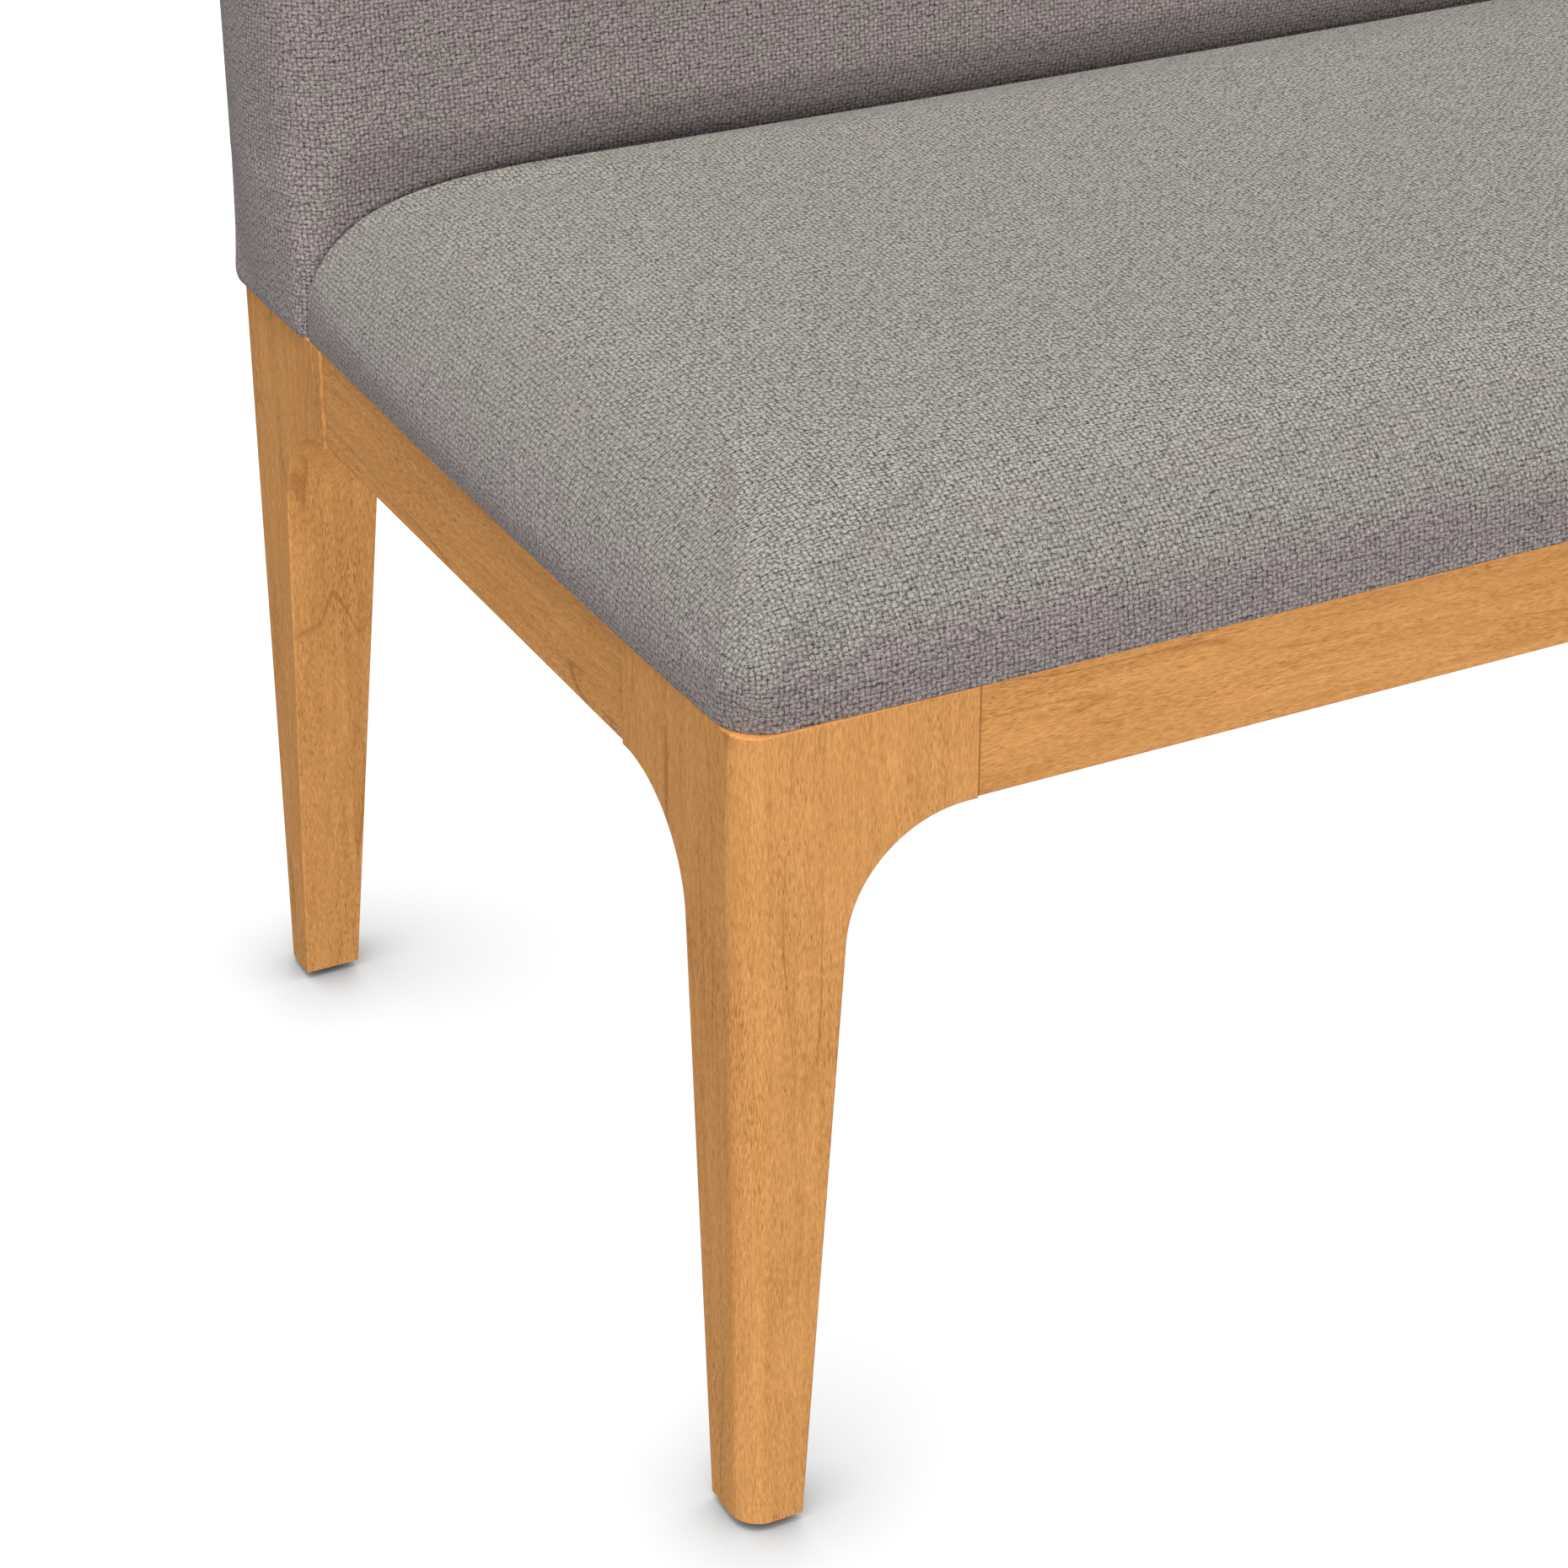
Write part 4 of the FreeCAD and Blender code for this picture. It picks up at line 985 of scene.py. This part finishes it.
def add_lip(quilt, hem):
    """Turns the fabric in under the hem by the width of the lip."""
    ring = np.concatenate(hem)
    flat = np.array([quilt.points[i] for i in ring])
    middle = (flat.max(0) + flat.min(0)) / 2
    reach = (flat.max(0) - flat.min(0)) / 2
    shrunk = middle + (flat - middle) * ((reach - LIP) / np.maximum(reach, 1e-9))
    shrunk[:, 2] = flat[:, 2]
    inner = quilt.add(shrunk)
    for i in range(len(ring)):
        k = (i + 1) % len(ring)
        corners = (ring[k], ring[i], inner[i], inner[k])
        quilt.face(corners, plan(quilt, corners))
    return inner


seat_pad, seat_held = make_seat()
moved = swell(seat_pad, seat_held, pressure=2.0, limit=3.0 * MM)
finish_soft(seat_pad, ("seat_cover", "seat_wadding", "seat_foam"))
print("seat:", len(seat_pad.data.vertices), "points, swelled", round(moved / MM, 2), "mm")

# %% [markdown]
# The back is a slab of the same cloth that stands on the rear legs and rail: upright behind, leaning a
# little in front, rounded along its foot, its top and its corners, and fuller in the middle of its
# front than at the ends. Below the seat's top its front is tucked back, which leaves the dark crease
# behind the seat. Here the cloth runs round the slab, so its coordinates are the way round and the way
# up, measured afresh on each outline.

# %% Back
back_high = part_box("back_cover")[1]
back_rise = back_high.z - rail_top
BACK_STEPS = (120, 6)
FRONT_CORNER = 26.0 * MM
CORNER_OPENS = 90.0 * MM
REAR_CORNER = 12.0 * MM
REAR_INSET = 0.4 * MM
FOOT_HEIGHT = 10.0 * MM
FOOT_DRAW = 2.4 * MM
TOP_HEIGHT = 28.0 * MM
TOP_DRAW = 20.0 * MM
ROUNDING_STEPS = 7
WALL_STEPS = 32
TUCK = 9.0 * MM
TUCK_SPAN = (62.0 * MM, 94.0 * MM)
TUCK_STEPS = 11
TUCK_EVENNESS = 10
TOP_CROWN = 1.0 * MM
LOW_CORNER_SHARE = 0.3
FRONT_CORNER_DRAW = 0.6
REAR_CORNER_DRAW = 0.4
CROWN_FADES_FROM = 0.35
CROWN_FADE = 0.7
LOW_WALL_STEPS = 5


def back_profile():
    """Height and draw-in of each outline of the back, from its foot to its top."""
    turn = np.radians(np.linspace(0, 90, ROUNDING_STEPS))
    foot = np.column_stack([FOOT_HEIGHT * (1 - np.cos(turn)), FOOT_DRAW * (1 - np.sin(turn))])
    top = np.column_stack([back_rise - TOP_HEIGHT * (1 - np.cos(turn)), TOP_DRAW * (1 - np.sin(turn))])[::-1]
    low, high = TUCK_SPAN
    wall = np.r_[np.linspace(foot[-1, 0], low, LOW_WALL_STEPS)[1:-1], np.linspace(low, high, TUCK_STEPS),
                 np.linspace(high, top[0, 0], WALL_STEPS)[1:-1]]
    return np.concatenate([foot, np.column_stack([wall, np.zeros(len(wall))]), top])


def back_level(rise, draw):
    """One outline of the back."""
    share = rise / back_rise
    faded = max(0.0, (share - CROWN_FADES_FROM) / (1 - CROWN_FADES_FROM)) ** 2
    opened = min(1.0, rise / CORNER_OPENS) ** 2
    corner = FRONT_CORNER * (LOW_CORNER_SHARE + (1 - LOW_CORNER_SHARE) * opened)
    drawn_front = draw if share > 0.5 else 0.0
    front = back_foot_y + rise * math.tan(BACK_LEAN) + drawn_front
    rear = back_high.y - REAR_INSET - draw
    front_radius, rear_radius = corner - FRONT_CORNER_DRAW * draw, REAR_CORNER - REAR_CORNER_DRAW * draw
    runs = outline(back_high.x - draw, front, rear, front_radius, rear_radius,
                   BACK_CROWN * (1 - CROWN_FADE * faded), 0.0, 0.0, BACK_STEPS, squareness=SHALLOW_ARC)
    x, y = runs[0].T
    y += tuck_at(rise) * (1 - np.clip(np.abs(x) / back_high.x, 0.0, 1.0) ** TUCK_EVENNESS)
    return rail_top + SEAT_HEM_GAP + rise, runs


def tuck_at(rise):
    """How far the front is drawn back behind the seat: all the way below, nothing above."""
    share = (rise - TUCK_SPAN[0]) / (TUCK_SPAN[1] - TUCK_SPAN[0])
    share = min(1.0, max(0.0, share))
    return TUCK * (1 - share * share * (3 - 2 * share))


def walk(ring, start):
    """How far along a closed outline each point is, counted from one of them."""
    steps = np.linalg.norm(np.diff(np.r_[ring, ring[:1]], axis=0), axis=1)
    so_far = np.r_[0, np.cumsum(steps)]
    return so_far - so_far[start]


def make_back():
    """The back slab and the points that are held still."""
    quilt = Quilt()
    profile = back_profile()
    stack = [back_level(*level) for level in profile]
    rows = [[quilt.add(np.column_stack([run, np.full(len(run), z)])) for run in runs] for z, runs in stack]
    around = [walk(np.concatenate(runs), len(runs[0]) // 2) for _, runs in stack]
    climb = np.diff(np.column_stack([[z for z, _ in stack], profile[:, 1]]), axis=0)
    up = np.r_[0, np.cumsum(np.linalg.norm(climb, axis=1))]
    for level in range(len(stack) - 1):
        low, high = np.concatenate(rows[level]), np.concatenate(rows[level + 1])
        for i in range(len(low)):
            k = (i + 1) % len(low)
            cloth = [(around[level + rise][i + step], up[level + rise])
                     for rise, step in ((0, 0), (0, 1), (1, 1), (1, 0))]
            quilt.face((low[i], low[k], high[k], high[i]), cloth)
    (foot_z, foot_runs), (top_z, top_runs) = stack[0], stack[-1]
    add_cap(quilt, rows[-1], cap_grid(top_runs, top_z), crown=TOP_CROWN)
    start = len(quilt.faces)
    add_cap(quilt, rows[0], cap_grid(foot_runs, foot_z), crown=0.0)
    quilt.faces[start:] = [f[::-1] for f in quilt.faces[start:]]
    quilt.cloth[start:] = [c[::-1] for c in quilt.cloth[start:]]
    floor_points = {c for f in quilt.faces[start:] for c in f}
    return quilt.build("back_pad"), sorted(floor_points)


back_pad, back_held = make_back()
moved = swell(back_pad, back_held, pressure=2.0, limit=2.5 * MM)
finish_soft(back_pad, ("back_cover", "back_wadding", "back_foam"))
print("back:", len(back_pad.data.vertices), "points, swelled", round(moved / MM, 2), "mm")

# %% [markdown]
# Under the seat a thin black cloth keeps dust out of the webbing. It is stapled to the seat frame and
# pinched on the two bearers, so it hangs a little in the three bays between.

# %% Dust cloth
dust_low, dust_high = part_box("dust_cover")
DUST_STEPS = (96, 30)
DUST_SAG = 2.5 * MM
DUST_THICKNESS = 0.4 * MM
DUST_INSET = 0.1 * MM
SAG_FULLNESS = 0.7
bearer_left_x = [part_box("bearer_left")[i].x for i in (0, 1)]
bearer_right_x = [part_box("bearer_right")[i].x for i in (0, 1)]
bays = [(dust_low.x, bearer_left_x[0]), (bearer_left_x[1], bearer_right_x[0]),
        (bearer_right_x[1], dust_high.x)]


def sag_at(x, y):
    """How far the cloth hangs at a point."""
    across = (y - dust_low.y) / (dust_high.y - dust_low.y)
    for left, right in bays:
        if left < x < right:
            along = (x - left) / (right - left)
            return DUST_SAG * (math.sin(math.pi * along) * math.sin(math.pi * across)) ** SAG_FULLNESS
    return 0.0


def make_dust_cloth():
    """A grid of cloth, thin, with its sag in its mesh."""
    xs = np.linspace(dust_low.x, dust_high.x, DUST_STEPS[0] + 1)
    ys = np.linspace(dust_low.y, dust_high.y, DUST_STEPS[1] + 1)
    top = dust_high.z - DUST_INSET
    points = [(x, y, top - sag_at(x, y)) for y in ys for x in xs]
    wide = len(xs)
    faces = [(j * wide + i, j * wide + i + 1, (j + 1) * wide + i + 1, (j + 1) * wide + i)
             for j in range(len(ys) - 1) for i in range(wide - 1)]
    mesh = bpy.data.meshes.new("dust_cloth")
    mesh.from_pydata(points, [], faces)
    mesh.polygons.foreach_set("use_smooth", [True] * len(mesh.polygons))
    mesh.materials.append(dust_black)
    piece = bpy.data.objects.new("dust_cloth", mesh)
    bpy.context.scene.collection.objects.link(piece)
    thick = piece.modifiers.new("thickness", "SOLIDIFY")
    thick.thickness = DUST_THICKNESS
    thick.offset = -1.0
    return piece


dust_cloth = make_dust_cloth()
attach(dust_cloth, BENCH)
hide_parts("dust_cover")
print("dust cloth:", len(dust_cloth.data.polygons), "faces")

# %% [markdown]
# Staples hold the black cloth along its edge. They repeat along a path, so Geometry Nodes place them:
# a rectangle a little inside the cloth's edge, points along it at an even spacing, and one short wire
# crown at each point, turned to follow the edge.

# %% Staples
STAPLE_CROWN = 10.0 * MM
STAPLE_WIRE = 0.7 * MM
STAPLE_SPACING = 42.0 * MM
STAPLE_MARGIN = 7.0 * MM
STAPLE_SINK = 0.3 * MM


def staple_tree():
    """Staples along a rectangle: its two sides, the spacing and the staple's size are inputs."""
    tree = bpy.data.node_groups.new("staples_on_edge", "GeometryNodeTree")
    for label in ("Width", "Depth", "Spacing", "Crown", "Wire"):
        tree.interface.new_socket(label, in_out="INPUT", socket_type="NodeSocketFloat")
    tree.interface.new_socket("Finish", in_out="INPUT", socket_type="NodeSocketMaterial")
    tree.interface.new_socket("Geometry", in_out="OUTPUT", socket_type="NodeSocketGeometry")
    given = tree.nodes.new("NodeGroupInput")
    made = tree.nodes.new("NodeGroupOutput")
    edge = tree.nodes.new("GeometryNodeCurvePrimitiveQuadrilateral")
    tree.links.new(given.outputs["Width"], edge.inputs["Width"])
    tree.links.new(given.outputs["Depth"], edge.inputs["Height"])
    along = tree.nodes.new("GeometryNodeCurveToPoints")
    along.mode = "LENGTH"
    tree.links.new(edge.outputs[0], along.inputs["Curve"])
    tree.links.new(given.outputs["Spacing"], along.inputs["Length"])
    size = tree.nodes.new("ShaderNodeCombineXYZ")
    for socket, label in zip(size.inputs, ("Wire", "Wire", "Crown")):
        tree.links.new(given.outputs[label], socket)
    staple = tree.nodes.new("GeometryNodeMeshCube")
    tree.links.new(size.outputs[0], staple.inputs["Size"])
    copies = tree.nodes.new("GeometryNodeInstanceOnPoints")
    tree.links.new(along.outputs["Points"], copies.inputs["Points"])
    tree.links.new(staple.outputs["Mesh"], copies.inputs["Instance"])
    tree.links.new(along.outputs["Rotation"], copies.inputs["Rotation"])
    real = tree.nodes.new("GeometryNodeRealizeInstances")
    tree.links.new(copies.outputs[0], real.inputs[0])
    finish = tree.nodes.new("GeometryNodeSetMaterial")
    tree.links.new(real.outputs[0], finish.inputs["Geometry"])
    tree.links.new(given.outputs["Finish"], finish.inputs["Material"])
    tree.links.new(finish.outputs[0], made.inputs[0])
    return tree


def grown(name, tree, values, place):
    """Runs a geometry tree with given inputs and gives back its result as a plain mesh at a place."""
    maker = bpy.data.objects.new(name + "_maker", bpy.data.meshes.new(name + "_maker"))
    bpy.context.scene.collection.objects.link(maker)
    modifier = maker.modifiers.new("grow", "NODES")
    modifier.node_group = tree
    for item in tree.interface.items_tree:
        if item.in_out == "INPUT":
            modifier[item.identifier] = values[item.name]
    bpy.context.view_layer.update()
    mesh = bpy.data.meshes.new_from_object(maker.evaluated_get(bpy.context.evaluated_depsgraph_get()))
    bpy.data.objects.remove(maker)
    for vertex in mesh.vertices:
        vertex.co += place
    piece = bpy.data.objects.new(name, mesh)
    bpy.context.scene.collection.objects.link(piece)
    return piece


staples = grown("dust_cloth_staples", staple_tree(), {
    "Width": dust_high.x - dust_low.x - 2 * STAPLE_MARGIN,
    "Depth": dust_high.y - dust_low.y - 2 * STAPLE_MARGIN,
    "Spacing": STAPLE_SPACING, "Crown": STAPLE_CROWN, "Wire": STAPLE_WIRE, "Finish": plated_steel,
}, Vector(((dust_low.x + dust_high.x) / 2, (dust_low.y + dust_high.y) / 2,
           dust_high.z - DUST_THICKNESS - STAPLE_SINK)))
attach(staples, BENCH)
print("staples:", len(staples.data.vertices) // 8)

# %% [markdown]
# Last, the two boxes are written down for comparison: the frame's own, and that of the dressed bench.

# %% Sizes and finish
bpy.context.view_layer.update()
dressed_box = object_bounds()
for label, box in (("cad box", cad_box), ("dressed", dressed_box)):
    print(label, [[round(v, 4) for v in corner] for corner in box])
